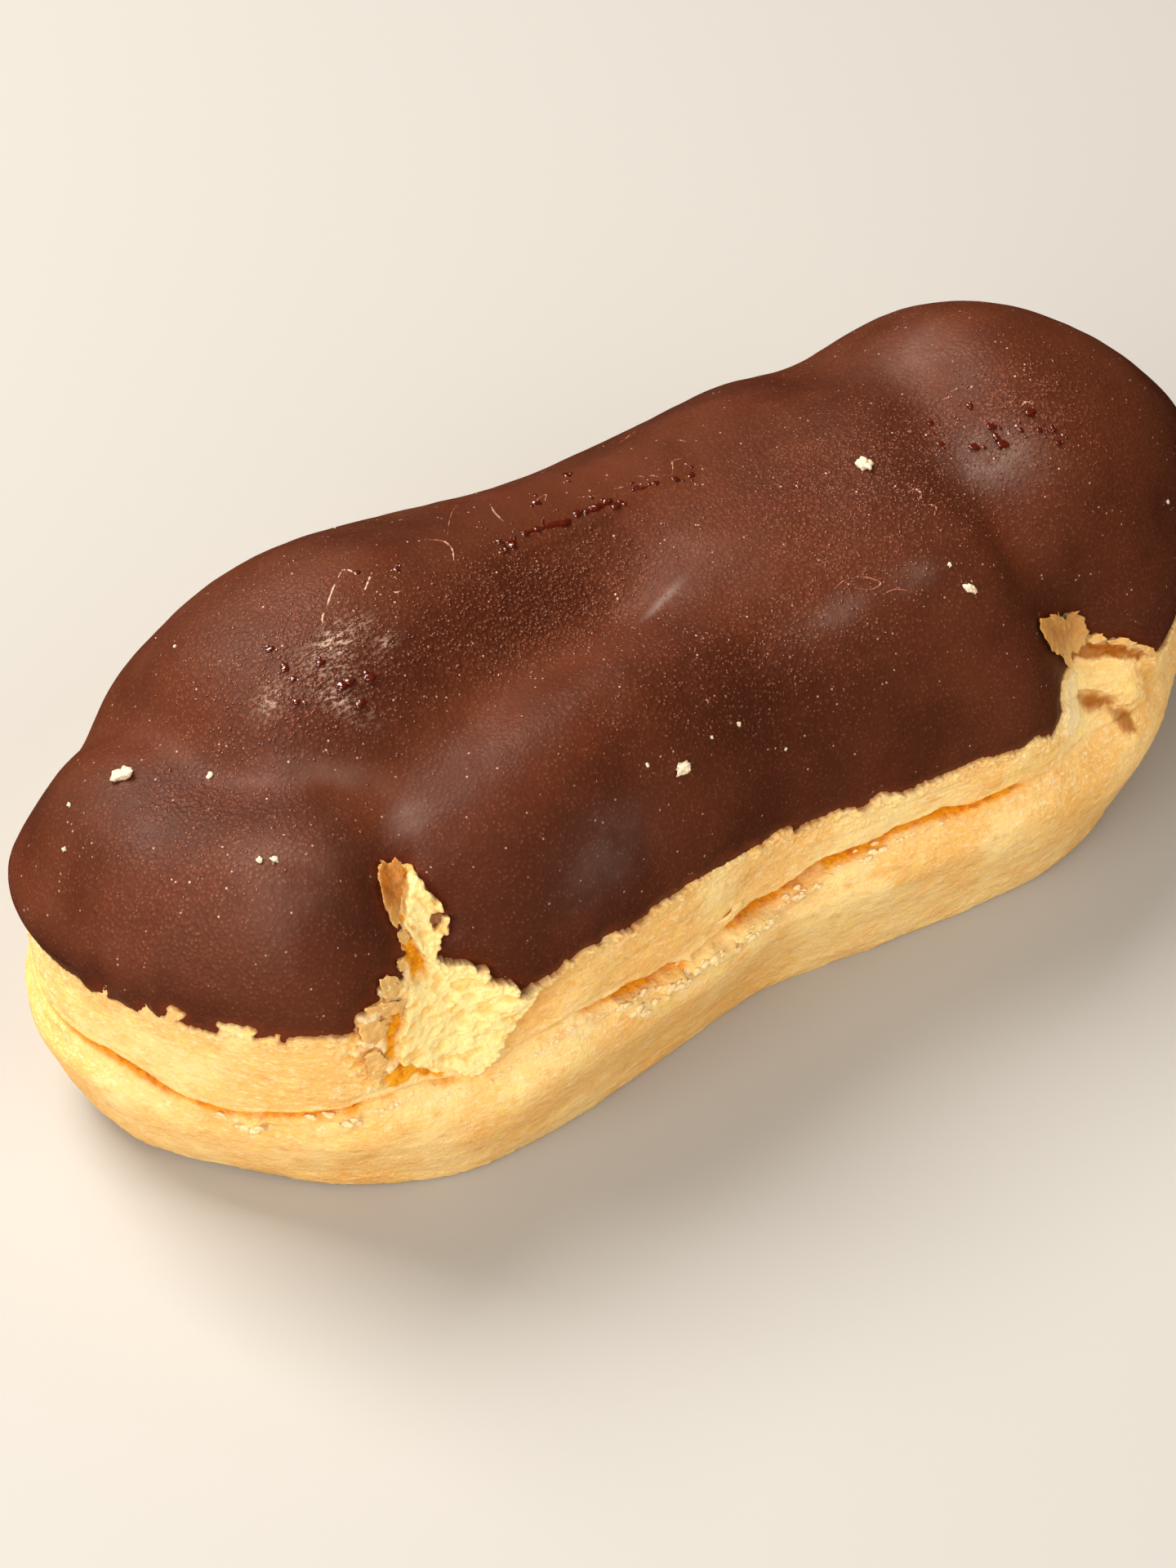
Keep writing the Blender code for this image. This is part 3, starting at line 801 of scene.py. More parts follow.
class ChouxRelief:
    """Relief of the baked pastry, as a function of places on the plain form.

    Each wave is a height, a shift of the places that keeps it apart from the others, and a size.
    """

    under_coat: float = -0.95
    lip_height: float = 0.16
    hollow_depth: float = 0.50
    hollow_half: float = 1.1
    slit_depth: float = 1.3
    grain_size: float = 0.40
    tiny_size: float = 0.22
    flake_height: float = 0.17
    edge_waves: tuple = ((0.07, 0.0, 1.3), (0.09, 9.1, 0.62), (0.15, 4.7, 0.27))
    border_waves: tuple = ((0.16, 33.0, 0.55), (0.09, 35.0, 0.24))
    sheet_waves: tuple = ((2.4, 12.0, (0.9, 0.7, 0.55)), (0.8, 14.0, 0.3))
    broad_waves: tuple = ((0.12, 0.0, (7.0, 4.0, 3.4)), (0.06, 0.0, (3.0, 2.0, 1.1)))
    wrinkles: tuple = ((0.040, 0.0, (1.9, 1.2, 0.5)), (0.028, 3.0, 0.42), (0.030, 8.0, 0.21))

    def __init__(self, form: BunForm, sight: Sight, crease: CreaseLine) -> None:
        """Seeds the noises and places the torn outlines.

        Args:
            form: the bun's form.
            sight: finds the photograph's pixels on the bun.
            crease: the line of the crease.
        """
        self.form = form
        self.crease = crease
        self.corners = [sight.front_places(place.pixels, place.offset) for place in TORN_PLACES]
        self.broad = GradientNoise(3)
        self.fine = GradientNoise(5)
        self.rag = GradientNoise(7)
        self.grain = CellNoise(11)

    def ragged(self, plain: Array, away: Array) -> Array:
        """Distance from the coat's edge made ragged by soft waves and nicks."""
        return away + self.rag.waves(plain, *self.edge_waves)

    def torn(self, plain: Array) -> tuple[dict[Kind, Array], Array]:
        """Share of each kind of torn place, from 0 to 1, and the rise of them all.

        Args:
            plain: points on the plain form.

        Returns:
            The shares by kind, and the rise in millimetres.
        """
        x, z = plain[..., 0], plain[..., 2]
        front = smooth_step(-plain[..., 1], 3.0, 6.0)
        ragged = self.rag.waves(plain, *self.border_waves)
        shares = {kind: np.zeros(x.shape) for kind in Kind}
        rise = np.zeros(x.shape)
        for place, corners in zip(TORN_PLACES, self.corners):
            depth = depth_inside(corners, x, z) + ragged
            share = smooth_step(depth, -place.soft, place.soft) * front
            shares[place.kind] = np.maximum(shares[place.kind], share * place.full)
            if place.rise < 0:
                rise = rise * (1 - share) + place.rise * share
            else:
                rise = np.maximum(rise, place.rise * share)
        return shares, rise

    def skin(self, plain: Array, away: Array) -> Skin:
        """Offset and paint of the pastry.

        Args:
            plain: points on the plain form.
            away: distance from the coat's edge, above zero on the pastry.

        Returns:
            The skin: it lies under the coat where away is below zero, comes up through a ragged lip, and
            then carries the strip, crease and shell, with flakes, crumb and hollows in the notches.
        """
        x, y, z = plain[..., 0], plain[..., 1], plain[..., 2]
        rag = self.ragged(plain, away)
        torn, torn_rise = self.torn(plain)
        crumb, flaky = torn[Kind.CRUMB], torn[Kind.FLAKY]
        whole = 1 - np.clip(crumb + 0.7 * flaky, 0.0, 1.0)
        from_crease = z - self.crease.height(x, y) + 0.07 * self.broad.at(plain + 31.0, 1.1)
        gape = np.clip(self.crease.gape(x, y) + 0.22 * self.fine.at(plain, 1.6), 0.0, 1.1)
        hollow = self.hollow_depth * bell(from_crease, -0.3, self.hollow_half) * whole
        slit_half = 0.10 + 0.35 * gape
        across = (from_crease + 0.05 * self.fine.at(plain + 2.0, 0.35)) / slit_half
        slit = self.slit_depth * gape * np.exp(-(np.abs(across) ** 3)) * whole

        grain_near, grain_next = self.grain.at(plain, self.grain_size)
        tiny_near, tiny_next = self.grain.at(plain + 5.0, self.tiny_size)
        lumps = np.clip(grain_next - grain_near, 0.0, 0.7) + 0.5 * np.clip(tiny_next - tiny_near, 0.0, 0.7)
        front = smooth_step(-y, 2.0, 6.0)
        grainy = 0.35 + 0.65 * front * smooth_step(x, -19.0, -14.0) * smooth_step(-x, -4.0, 2.0)
        lower_lip = bell(from_crease, -0.58, 0.30) * whole
        upper_lip = bell(from_crease, 0.42, 0.22) * whole
        lips = lower_lip * (0.08 + 0.22 * grainy * lumps) + upper_lip * (0.10 + 0.08 * grainy * lumps)

        holes = smooth_step(-self.rag.at(plain, (0.95, 0.7, 0.42)), 0.05, 0.55)
        small = smooth_step(-self.rag.at(plain + 3.0, (0.42, 0.3, 0.24)), 0.10, 0.60)
        soft = 0.10 * self.rag.at(plain + 2.0, 0.8) - 0.11 * holes - 0.07 * small
        sheets = self.rag.waves(plain, *self.sheet_waves)
        level = np.floor(sheets) + smooth_step(sheets - np.floor(sheets), 0.25, 0.6)
        flakes = self.flake_height * level * flaky * (1 - crumb)

        rim = bell(rag, 0.30, 0.60)
        broad = self.broad.waves(plain, *self.broad_waves)
        wrinkle = self.fine.waves(plain, *self.wrinkles)
        marks = overlaid(TORN_RELIEF, plain) * smooth_step(away, 0.2, 1.5)
        lip = self.lip_height * (1 + 0.5 * self.rag.at(plain + 6.0, 0.9)) * bell(rag, 0.0, 0.6)
        bare = marks + torn_rise + soft * crumb + flakes + lips + 0.24 * rim * lumps + broad + wrinkle
        bare = bare - hollow - slit + lip * (1 - 0.5 * crumb)
        rise = smooth_step(rag, -0.22, 0.04)
        offset = self.under_coat + (bare - self.under_coat) * rise

        # pit is painted orange shade and glow: in the slit's band, along the crease, in the torn hollows, on
        # the low flake sheets and in the soft valley
        shaded_low_sheets = smooth_step(-level, -0.5, 1.5) * flaky * (1 - crumb)
        valley = 0.45 * np.clip(-marks / 0.5, 0.0, 1.0) * front
        band = smooth_step(1.45 - np.abs(across), 0.0, 0.45) * smooth_step(gape, 0.05, 0.35) * whole
        glow = 0.62 * bell(from_crease, -0.15, 0.5) * gape
        pit = np.maximum(np.maximum(band, torn[Kind.SHADED_HOLLOW]), glow) + 0.55 * shaded_low_sheets + valley
        pit = np.clip(pit, 0, 1) * (1 - 0.7 * crumb)
        pale = 0.8 * (lower_lip + 0.6 * upper_lip) * lumps * grainy
        pale = pale + 0.35 * rim * lumps + 0.5 * torn[Kind.RIDGE]
        pale = np.clip(pale + 0.5 * flaky * smooth_step(level, 0.0, 1.0), 0.0, 1.0)
        paint = {
            "pit": pit,
            "crumb": crumb,
            "pale": pale * (1 - pit),
            "pore_shade": np.clip(0.75 * holes + 0.45 * small, 0.0, 1.0) * crumb,
            "edge": np.clip(bell(rag, -0.10, 0.16) + torn[Kind.NICK], 0.0, 1.0),
            "low": smooth_step(-z, -7.5, -2.0),
            "ochre_shade": torn[Kind.OCHRE_SHADE],
        }
        return Skin(offset, paint)


@dataclass(frozen=True)
class Spot:
    """A place on the coat, over x and y of the plain form, with radii, a turn and a strength."""

    name: str
    at: tuple[float, float]
    radii: tuple[float, float]
    turn: float = 0.0
    strength: float = 1.0

    def over(self, plain: Array) -> Array:
        """Strength times a Gaussian on x and y, on the upper form only."""
        along, across = turned_shares(plain[..., 0], plain[..., 1], self.at, self.radii, self.turn)
        return self.strength * np.exp(-(along**2 + across**2)) * smooth_step(plain[..., 2], 14.0, 16.0)


def overlaid(places: tuple, plain: Array) -> Array:
    """Sum of what spots or marks add at each point."""
    return sum(place.over(plain) for place in places)


# Pale patches on the coat: mostly painted sheen and highlights, the streak in the pit a painted reflection,
# with some pale smears of bloom
BLOOM_AND_SHEEN = (
    Spot("above the left notch", (-20.9, -8.4), (0.9, 0.7), 0, 1.0),
    Spot("ledge between the left crowns", (-22.9, -4.5), (3.2, 0.6), -40, 0.4),
    Spot("front left crown", (-26.0, -7.4), (2.2, 1.6), -30, 0.35),
    Spot("streak in the pit", (-2.8, -4.2), (1.2, 0.22), 17, 2.0),
    Spot("wall of the pit", (-0.4, -2.4), (1.6, 1.0), 60, 0.15),
    Spot("front of the right crown", (16.9, -5.6), (2.1, 1.3), -30, 0.9),
    Spot("back of the right crown", (17.8, 1.8), (2.0, 1.2), 20, 0.35),
    Spot("front ridge", (-13.0, -12.6), (3.0, 0.9), 10, 0.35),
    Spot("smear on the front ridge", (4.0, -8.6), (2.2, 0.5), -4, 0.55),
    Spot("smear beside it", (8.8, -9.0), (1.2, 0.5), -10, 0.55),
)
SCUFFS = (
    Spot("left", (-23.0, -1.0), (0.65, 0.55), 20, 0.8),
    Spot("middle", (-19.2, -0.5), (1.5, 0.6), 4, 1.0),
    Spot("between", (-19.9, -1.6), (0.9, 0.7), -30, 0.45),
    Spot("right", (-17.3, -1.6), (0.6, 0.35), 20, 0.6),
    Spot("front", (-20.7, -2.6), (1.3, 0.42), -55, 0.8),
)
DAMP = (
    Spot("valley", (-8.5, -1.5), (6.0, 2.6), 10, 1.0),
    Spot("left crown's front", (-20.5, -2.0), (4.0, 2.0), -12, 0.9),
    Spot("back of the left crown", (-21.0, 2.0), (3.5, 2.5), 0, 0.6),
    Spot("right crown", (18.3, -4.6), (3.4, 3.0), 10, 0.8),
    Spot("before the right crown", (10.0, -3.5), (6.0, 3.6), 0, 0.7),
    Spot("front ridge", (0.0, -8.5), (10.0, 2.2), 2, 0.5),
    Spot("left end", (-28.0, -4.0), (4.0, 4.0), 0, 0.5),
)
SMOOTH = (
    Spot("behind the back ridge", (-4.0, 3.6), (9.0, 1.9), 4, 1.0),
    Spot("ledge between the left crowns", (-23.2, -4.8), (3.6, 0.9), -40, 0.8),
    Spot("left of the pit", (-12.5, -6.0), (4.0, 1.6), 10, 0.6),
)


class CoatRelief:
    """Relief of the set chocolate, as a function of places on the plain form."""

    proud: float = 0.35
    tucked: float = -0.70
    dive: float = 2.0
    overhang: float = 0.6
    ledge_height: float = 0.10
    waves: tuple = ((0.055, 0.0, 4.6), (0.030, 5.0, 1.9))
    pucker: float = 0.012
    pucker_size: float = 0.8

    def __init__(self) -> None:
        """Seeds the noises."""
        self.broad = GradientNoise(21)
        self.fine = GradientNoise(23)

    def level(self, plain: Array) -> Array:
        """Offset of the open face: soft waves, puckers, and a thin ledge behind the back ridge.

        Args:
            plain: points on the plain form.

        Returns:
            Offsets in millimetres.
        """
        waves = self.broad.waves(plain, *self.waves)
        ledge = self.ledge_height * smooth_step(plain[..., 1] - 0.09 * plain[..., 0], 1.2, 1.6)
        ledge = ledge * bell(plain[..., 0], -3.0, 7.5) * smooth_step(plain[..., 2], 21.5, 22.8)
        return self.proud + waves + self.pucker * self.fine.at(plain, self.pucker_size) + ledge

    def skin(self, plain: Array, away: Array) -> Skin:
        """Offset and paint of the coat's outer face, which rounds down under the pastry's lip.

        Args:
            plain: points on the plain form.
            away: distance from the coat's edge, above zero on the pastry.

        Returns:
            The skin, with the shares that the finish reads.
        """
        rounding = 0.40 * smooth_step(away, -1.1, 0.45) + self.dive * smooth_step(away, 0.35, 1.8)
        # The first of these shares is painted sheen and highlights, with some pale smears of bloom
        bloom_and_sheen, scuff, damp, smooth = (overlaid(places, plain) for places in (BLOOM_AND_SHEEN, SCUFFS, DAMP, SMOOTH))
        hanging = self.overhang * bell(away, -1.5, 1.4) * smooth_step(-plain[..., 0], 29.0, 33.5)
        offset = self.proud + (self.level(plain) - self.proud) * (away < 0) - rounding + hanging
        damp = np.clip(damp, 0.0, 1.1) * (1 - 0.8 * np.clip(smooth, 0.0, 1.0))
        fringe = bell(away, -0.02, 0.34)
        paint = {"bloom_and_sheen": bloom_and_sheen, "scuff": scuff, "damp": damp, "smooth": smooth, "fringe": fringe}
        return Skin(offset, paint)


def make_mesh(
    name: str, points: Array, faces: list[Array], paint: dict[str, Array] | None = None
) -> Piece:
    """Puts points and faces into a new smooth mesh object.

    Args:
        name: the piece's name.
        points: places in metres, one a row.
        faces: arrays of corner numbers, one a face, each array with one number of corners.
        paint: values for each point, by attribute name.

    Returns:
        The linked object.
    """
    mesh = bpy.data.meshes.new(name)
    mesh.vertices.add(len(points))
    mesh.vertices.foreach_set("co", np.ascontiguousarray(points, dtype=np.float32).ravel())
    corners = np.concatenate([part.ravel() for part in faces])
    sizes = np.concatenate([np.full(len(part), part.shape[1]) for part in faces])
    mesh.loops.add(len(corners))
    mesh.loops.foreach_set("vertex_index", corners.astype(np.int32))
    mesh.polygons.add(len(sizes))
    starts = np.concatenate([[0], np.cumsum(sizes)[:-1]])
    mesh.polygons.foreach_set("loop_start", starts.astype(np.int32))
    mesh.update(calc_edges=True)
    for key, values in (paint or {}).items():
        layer = mesh.attributes.new(key, "FLOAT", "POINT")
        layer.data.foreach_set("value", np.ascontiguousarray(values, dtype=np.float32).ravel())
    mesh.shade_smooth()
    mesh.validate()
    piece = bpy.data.objects.new(name, mesh)
    bpy.context.scene.collection.objects.link(piece)
    return piece


def ring_faces(rows: int, columns: int, wrap: bool = False) -> Array:
    """Quads between rows of closed rings, the last row joined to the first if wrap is true.

    Args:
        rows: number of rows.
        columns: number of points in a row.
        wrap: whether the last row joins the first.

    Returns:
        Corner numbers, four a face.
    """
    row = np.arange(rows if wrap else rows - 1)[:, None]
    column = np.arange(columns)[None, :]
    after = (column + 1) % columns
    below = (row + 1) % rows
    row, below = row * columns, below * columns
    return np.stack([row + column, below + column, below + after, row + after], axis=-1).reshape(-1, 4)


def closed_faces(rows: int, columns: int, flip: bool = False) -> list[Array]:
    """Faces of rows of closed rings between two poles, which are the first and the last point.

    Args:
        rows: number of rows.
        columns: number of points in a row.
        flip: whether the faces are turned over.

    Returns:
        Quads, then both poles' triangles.
    """
    number = np.arange(columns)
    after = (number + 1) % columns
    last = 1 + (rows - 1) * columns
    top = np.stack([np.zeros(columns, dtype=int), 1 + number, 1 + after], axis=-1)
    bottom = np.stack([last + after, last + number, np.full(columns, last + columns)], axis=-1)
    faces = [ring_faces(rows, columns) + 1, top, bottom]
    return [part[:, ::-1] for part in faces] if flip else faces


def repeated(faces: list[Array], count: int, size: int) -> list[Array]:
    """The same faces for a number of shapes of size points each."""
    start = np.arange(count)[:, None, None] * size
    return [(part[None] + start).reshape(-1, part.shape[1]) for part in faces]


def padded(paint: dict[str, Array], before: int, after: int) -> dict[str, Array]:
    """Attributes of a grid in one row, with the grid's first value before them and zeros after them."""
    return {
        key: np.concatenate([np.full(before, grid.flat[0]), grid.ravel(), np.zeros(after)])
        for key, grid in paint.items()
    }


def sheet_faces(rows: int, columns: int) -> Array:
    """Quads of an open grid.

    Args:
        rows: number of rows.
        columns: number of points in a row.

    Returns:
        Corner numbers, four a face.
    """
    row = np.arange(rows - 1)[:, None]
    column = np.arange(columns - 1)[None, :]
    corner = row * columns + column
    quads = np.stack([corner, corner + columns, corner + columns + 1, corner + 1], axis=-1)
    return quads.reshape(-1, 4)


def sheet_border(rows: int, columns: int) -> Array:
    """Numbers of an open grid's border points, in order round it.

    Args:
        rows: number of rows.
        columns: number of points in a row.

    Returns:
        Point numbers.
    """
    top = np.arange(columns)
    right = np.arange(1, rows) * columns + columns - 1
    bottom = np.arange(columns - 2, -1, -1) + (rows - 1) * columns
    left = np.arange(rows - 2, 0, -1) * columns
    return np.concatenate([top, right, bottom, left])


@dataclass(frozen=True)
class Placing:
    """Turns millimetres of the form's frame into metres of the part's frame."""

    scale: float
    shift: tuple[float, float]

    def metres(self, points: Array) -> Array:
        """Places in the part's frame."""
        moved = points * self.scale + np.array([self.shift[0], self.shift[1], 0.0])
        return moved * MM

    @staticmethod
    def on_frame(form: BunForm) -> "Placing":
        """Fits the box of the form, with its coat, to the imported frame's box.

        Args:
            form: the bun's form.

        Returns:
            The placing.
        """
        angle = np.radians(np.arange(0.0, 360.0, 1.0))[:, None]
        swing = np.radians(np.arange(1.0, 180.0, 1.0))[None, :]
        angle, swing = np.broadcast_arrays(angle, swing)
        plain = form.plain(angle, swing)
        proud = CoatRelief.proud * (plain[..., 2] > form.edge_height(angle) + 0.3)
        points = plain + form.normals(angle, swing) * (form.swell_height(plain) + proud)[..., None]
        low, high = points.min(axis=(0, 1)), points.max(axis=(0, 1))
        frame_low, frame_high = (np.array(corner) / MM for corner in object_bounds())
        scale = (frame_high[0] - frame_low[0]) / (high[0] - low[0])
        middle = (frame_low + frame_high) / 2 - (low + high) / 2 * scale
        return Placing(float(scale), (float(middle[0]), float(middle[1])))


class Sight:
    """Finds where the photograph's pixels fall on the bun."""

    offset: float = 0.3
    steps: int = 6
    small: float = 1e-3
    longest: float = 0.03

    def __init__(self, form: BunForm, placing: Placing, view: PhotoView) -> None:
        """Projects a grid of the bun's facing points into the photograph.

        Args:
            form: the bun's form.
            placing: turns millimetres into the part's metres.
            view: the photograph's viewpoint.
        """
        self.form = form
        self.placing = placing
        self.eye, self.side, self.up, self.back = view.axes(placing)
        self.reach = view.focal * PHOTO_SIZE[1] / SENSOR
        angle = np.linspace(0.0, FULL_TURN, 900)[:, None]
        swing = np.linspace(0.02, 2.4, 300)[None, :]
        angle, swing = (grid.ravel() for grid in np.broadcast_arrays(angle, swing))
        points, normal = form.on_skin(angle, swing, self.offset)
        away = placing.metres(points) / MM - self.eye
        facing = (away * normal).sum(axis=-1) < 0
        self.angle, self.swing = angle[facing], swing[facing]
        self.image = self.pixels(self.angle, self.swing, self.offset)

    def pixels(self, angle: Array, swing: Array, offset: float) -> Array:
        """Photograph pixels of points at an offset from the form.

        Args:
            angle: directions seen from above, in radians.
            swing: swings, in radians.
            offset: how far the surface stands off the form.

        Returns:
            Across and down, for each point.
        """
        points, _ = self.form.on_skin(angle, swing, offset)
        away = self.placing.metres(points) / MM - self.eye
        depth = -(away @ self.back)
        across = PHOTO_SIZE[0] / 2 + self.reach * (away @ self.side) / depth
        down = PHOTO_SIZE[1] / 2 - self.reach * (away @ self.up) / depth
        return np.stack([across, down], axis=-1)

    def find(self, pixels: tuple[tuple[float, ...], ...], offset: float) -> tuple[Array, Array]:
        """Angle and swing on the bun under each pixel.

        Args:
            pixels: across and down, and perhaps more values, for each place.
            offset: how far the surface that shows there stands off the form.

        Returns:
            The nearest facing grid point's, mended by steps that solve for what is left to the pixel.
        """
        wanted = np.array([pixel[:2] for pixel in pixels], dtype=float)
        nearest = [int(np.argmin(((self.image - place) ** 2).sum(axis=-1))) for place in wanted]
        angle, swing = self.angle[nearest].copy(), self.swing[nearest].copy()
        for _ in range(self.steps):
            here = self.pixels(angle, swing, offset)
            turned = (self.pixels(angle + self.small, swing, offset) - here) / self.small
            swung = (self.pixels(angle, swing + self.small, offset) - here) / self.small
            left = wanted - here
            area = turned[:, 0] * swung[:, 1] - turned[:, 1] * swung[:, 0]
            turn = (left[:, 0] * swung[:, 1] - left[:, 1] * swung[:, 0]) / area
            lower = (turned[:, 0] * left[:, 1] - turned[:, 1] * left[:, 0]) / area
            angle = angle + np.clip(turn, -self.longest, self.longest)
            swing = np.clip(swing + np.clip(lower, -self.longest, self.longest), 0.01, 2.6)
        return angle, swing

    def front_places(self, pixels: tuple[tuple[float, ...], ...], offset: float = 0.3) -> Array:
        """x and height on the plain form under each pixel of the front."""
        return self.form.plain(*self.find(pixels, offset))[:, ::2]

    def top_places(self, pixels: tuple[tuple[float, ...], ...]) -> Array:
        """x and y on the plain form under each pixel of the top."""
        return self.form.plain(*self.find(pixels, self.offset))[:, :2]


class Shading:
    """Short ways to build a material's nodes."""

    def __init__(self, name: str) -> None:
        """Makes an empty material with a Principled shader.

        Args:
            name: the material's name.
        """
        self.material = bpy.data.materials.new(name)
        self.material.use_nodes = True
        self.tree = self.material.node_tree
        self.shader = self.tree.nodes["Principled BSDF"]
        self.place = self.tree.nodes.new("ShaderNodeTexCoord").outputs["Object"]

    def node(self, kind: str, **values: object) -> bpy.types.Node:
        """A node of a kind, with its properties set.

        Args:
            kind: the node's type.

        Returns:
            The node.
        """
        made = self.tree.nodes.new(kind)
        for key, value in values.items():
            setattr(made, key, value)
        return made

    def link(self, source: Socket, target: Socket) -> None:
        """Links two sockets."""
        self.tree.links.new(source, target)

    def put(self, socket: Socket, value: object) -> None:
        """Links a socket, or sets its value if value is a number or a colour.

        Args:
            socket: an input.
            value: a socket, a number or a colour.
        """
        if isinstance(value, bpy.types.NodeSocket):
            self.link(value, socket)
        else:
            socket.default_value = value

    def painted(self, name: str) -> Socket:
        """A mesh attribute's value."""
        return self.node("ShaderNodeAttribute", attribute_name=name).outputs["Fac"]

    def noise(
        self, size: float, detail: float = 2.0, roughness: float = 0.5, stretch: tuple = (1, 1, 1)
    ) -> Socket:
        """Noise with waves of a size in millimetres, longer along axes whose stretch is more than 1.

        Args:
            size: width of a wave.
            detail: finer layers on it.
            roughness: strength of those.
            stretch: how many times longer it is on each axis.

        Returns:
            The noise, from 0 to 1.
        """
        place = self.node("ShaderNodeMapping")
        self.link(self.place, place.inputs["Vector"])
        place.inputs["Scale"].default_value = tuple(1 / (size * MM * axis) for axis in stretch)
        noise = self.node("ShaderNodeTexNoise")
        self.link(place.outputs["Vector"], noise.inputs["Vector"])
        noise.inputs["Scale"].default_value = 1.0
        noise.inputs["Detail"].default_value = detail
        noise.inputs["Roughness"].default_value = roughness
        return noise.outputs["Fac"]

    def cells(self, size: float) -> Socket:
        """Distance to the nearest of scattered points a size in millimetres apart.

        Args:
            size: spacing of the points.

        Returns:
            The distance, as a share of the spacing.
        """
        cells = self.node("ShaderNodeTexVoronoi")
        self.link(self.place, cells.inputs["Vector"])
        cells.inputs["Scale"].default_value = 1 / (size * MM)
        return cells.outputs["Distance"]

    def ramp(
        self, value: Socket, low: float, high: float, start: float = 0.0, end: float = 1.0
    ) -> Socket:
        """Maps low..high of a value smoothly to start..end.

        Args:
            value: what is mapped.
            low: value that gives start.
            high: value that gives end.
            start: first result.
            end: last result.

        Returns:
            The mapped value.
        """
        made = self.node("ShaderNodeMapRange", interpolation_type="SMOOTHSTEP")
        self.link(value, made.inputs["Value"])
        for key, number in (("From Min", low), ("From Max", high), ("To Min", start), ("To Max", end)):
            made.inputs[key].default_value = number
        return made.outputs["Result"]

    def math(self, operation: str, first: object, second: object) -> Socket:
        """A sum, product or the like of two values.

        Args:
            operation: the node's operation.
            first: a value or socket.
            second: another.

        Returns:
            The result.
        """
        made = self.node("ShaderNodeMath", operation=operation)
        self.put(made.inputs[0], first)
        self.put(made.inputs[1], second)
        return made.outputs["Value"]

    def mix(self, share: object, first: object, second: object) -> Socket:
        """Mixes two colours.

        Args:
            share: share of the second colour.
            first: a colour.
            second: another.

        Returns:
            The mixed colour.
        """
        made = self.node("ShaderNodeMix", data_type="RGBA")
        self.put(made.inputs[0], share)
        self.put(made.inputs[6], first)
        self.put(made.inputs[7], second)
        return made.outputs[2]

    def over(self, base: Socket, name: str, share: float | Socket, tint: tuple) -> Socket:
        """Mixes a colour over another by a share of a mesh attribute."""
        return self.mix(self.math("MULTIPLY", self.painted(name), share), base, tint)

    def finish(self, base: Socket, values: dict[str, object]) -> None:
        """Sets the shader's colour, and its other sockets by their names."""
        self.link(base, self.shader.inputs["Base Color"])
        for key, value in values.items():
            self.put(self.shader.inputs[key], value)

    def bump(self, height: Socket, depth: float, below: Socket | None = None) -> Socket:
        """A bump whose full height is depth millimetres, over another bump if one is given.

        Args:
            height: heights from 0 to 1.
            depth: full height in millimetres.
            below: a coarser bump's normal.

        Returns:
            The bumped normal.
        """
        made = self.node("ShaderNodeBump")
        made.inputs["Strength"].default_value = 1.0
        made.inputs["Distance"].default_value = depth * MM
        self.link(height, made.inputs["Height"])
        if below is not None:
            self.link(below, made.inputs["Normal"])
        return made.outputs["Normal"]


def colour(red: int, green: int, blue: int) -> tuple[float, float, float, float]:
    """A display colour of 0 to 255 as linear light."""
    share = np.array([red, green, blue]) / 255
    linear = np.where(share <= 0.04045, share / 12.92, ((share + 0.055) / 1.055) ** 2.4)
    return (float(linear[0]), float(linear[1]), float(linear[2]), 1.0)


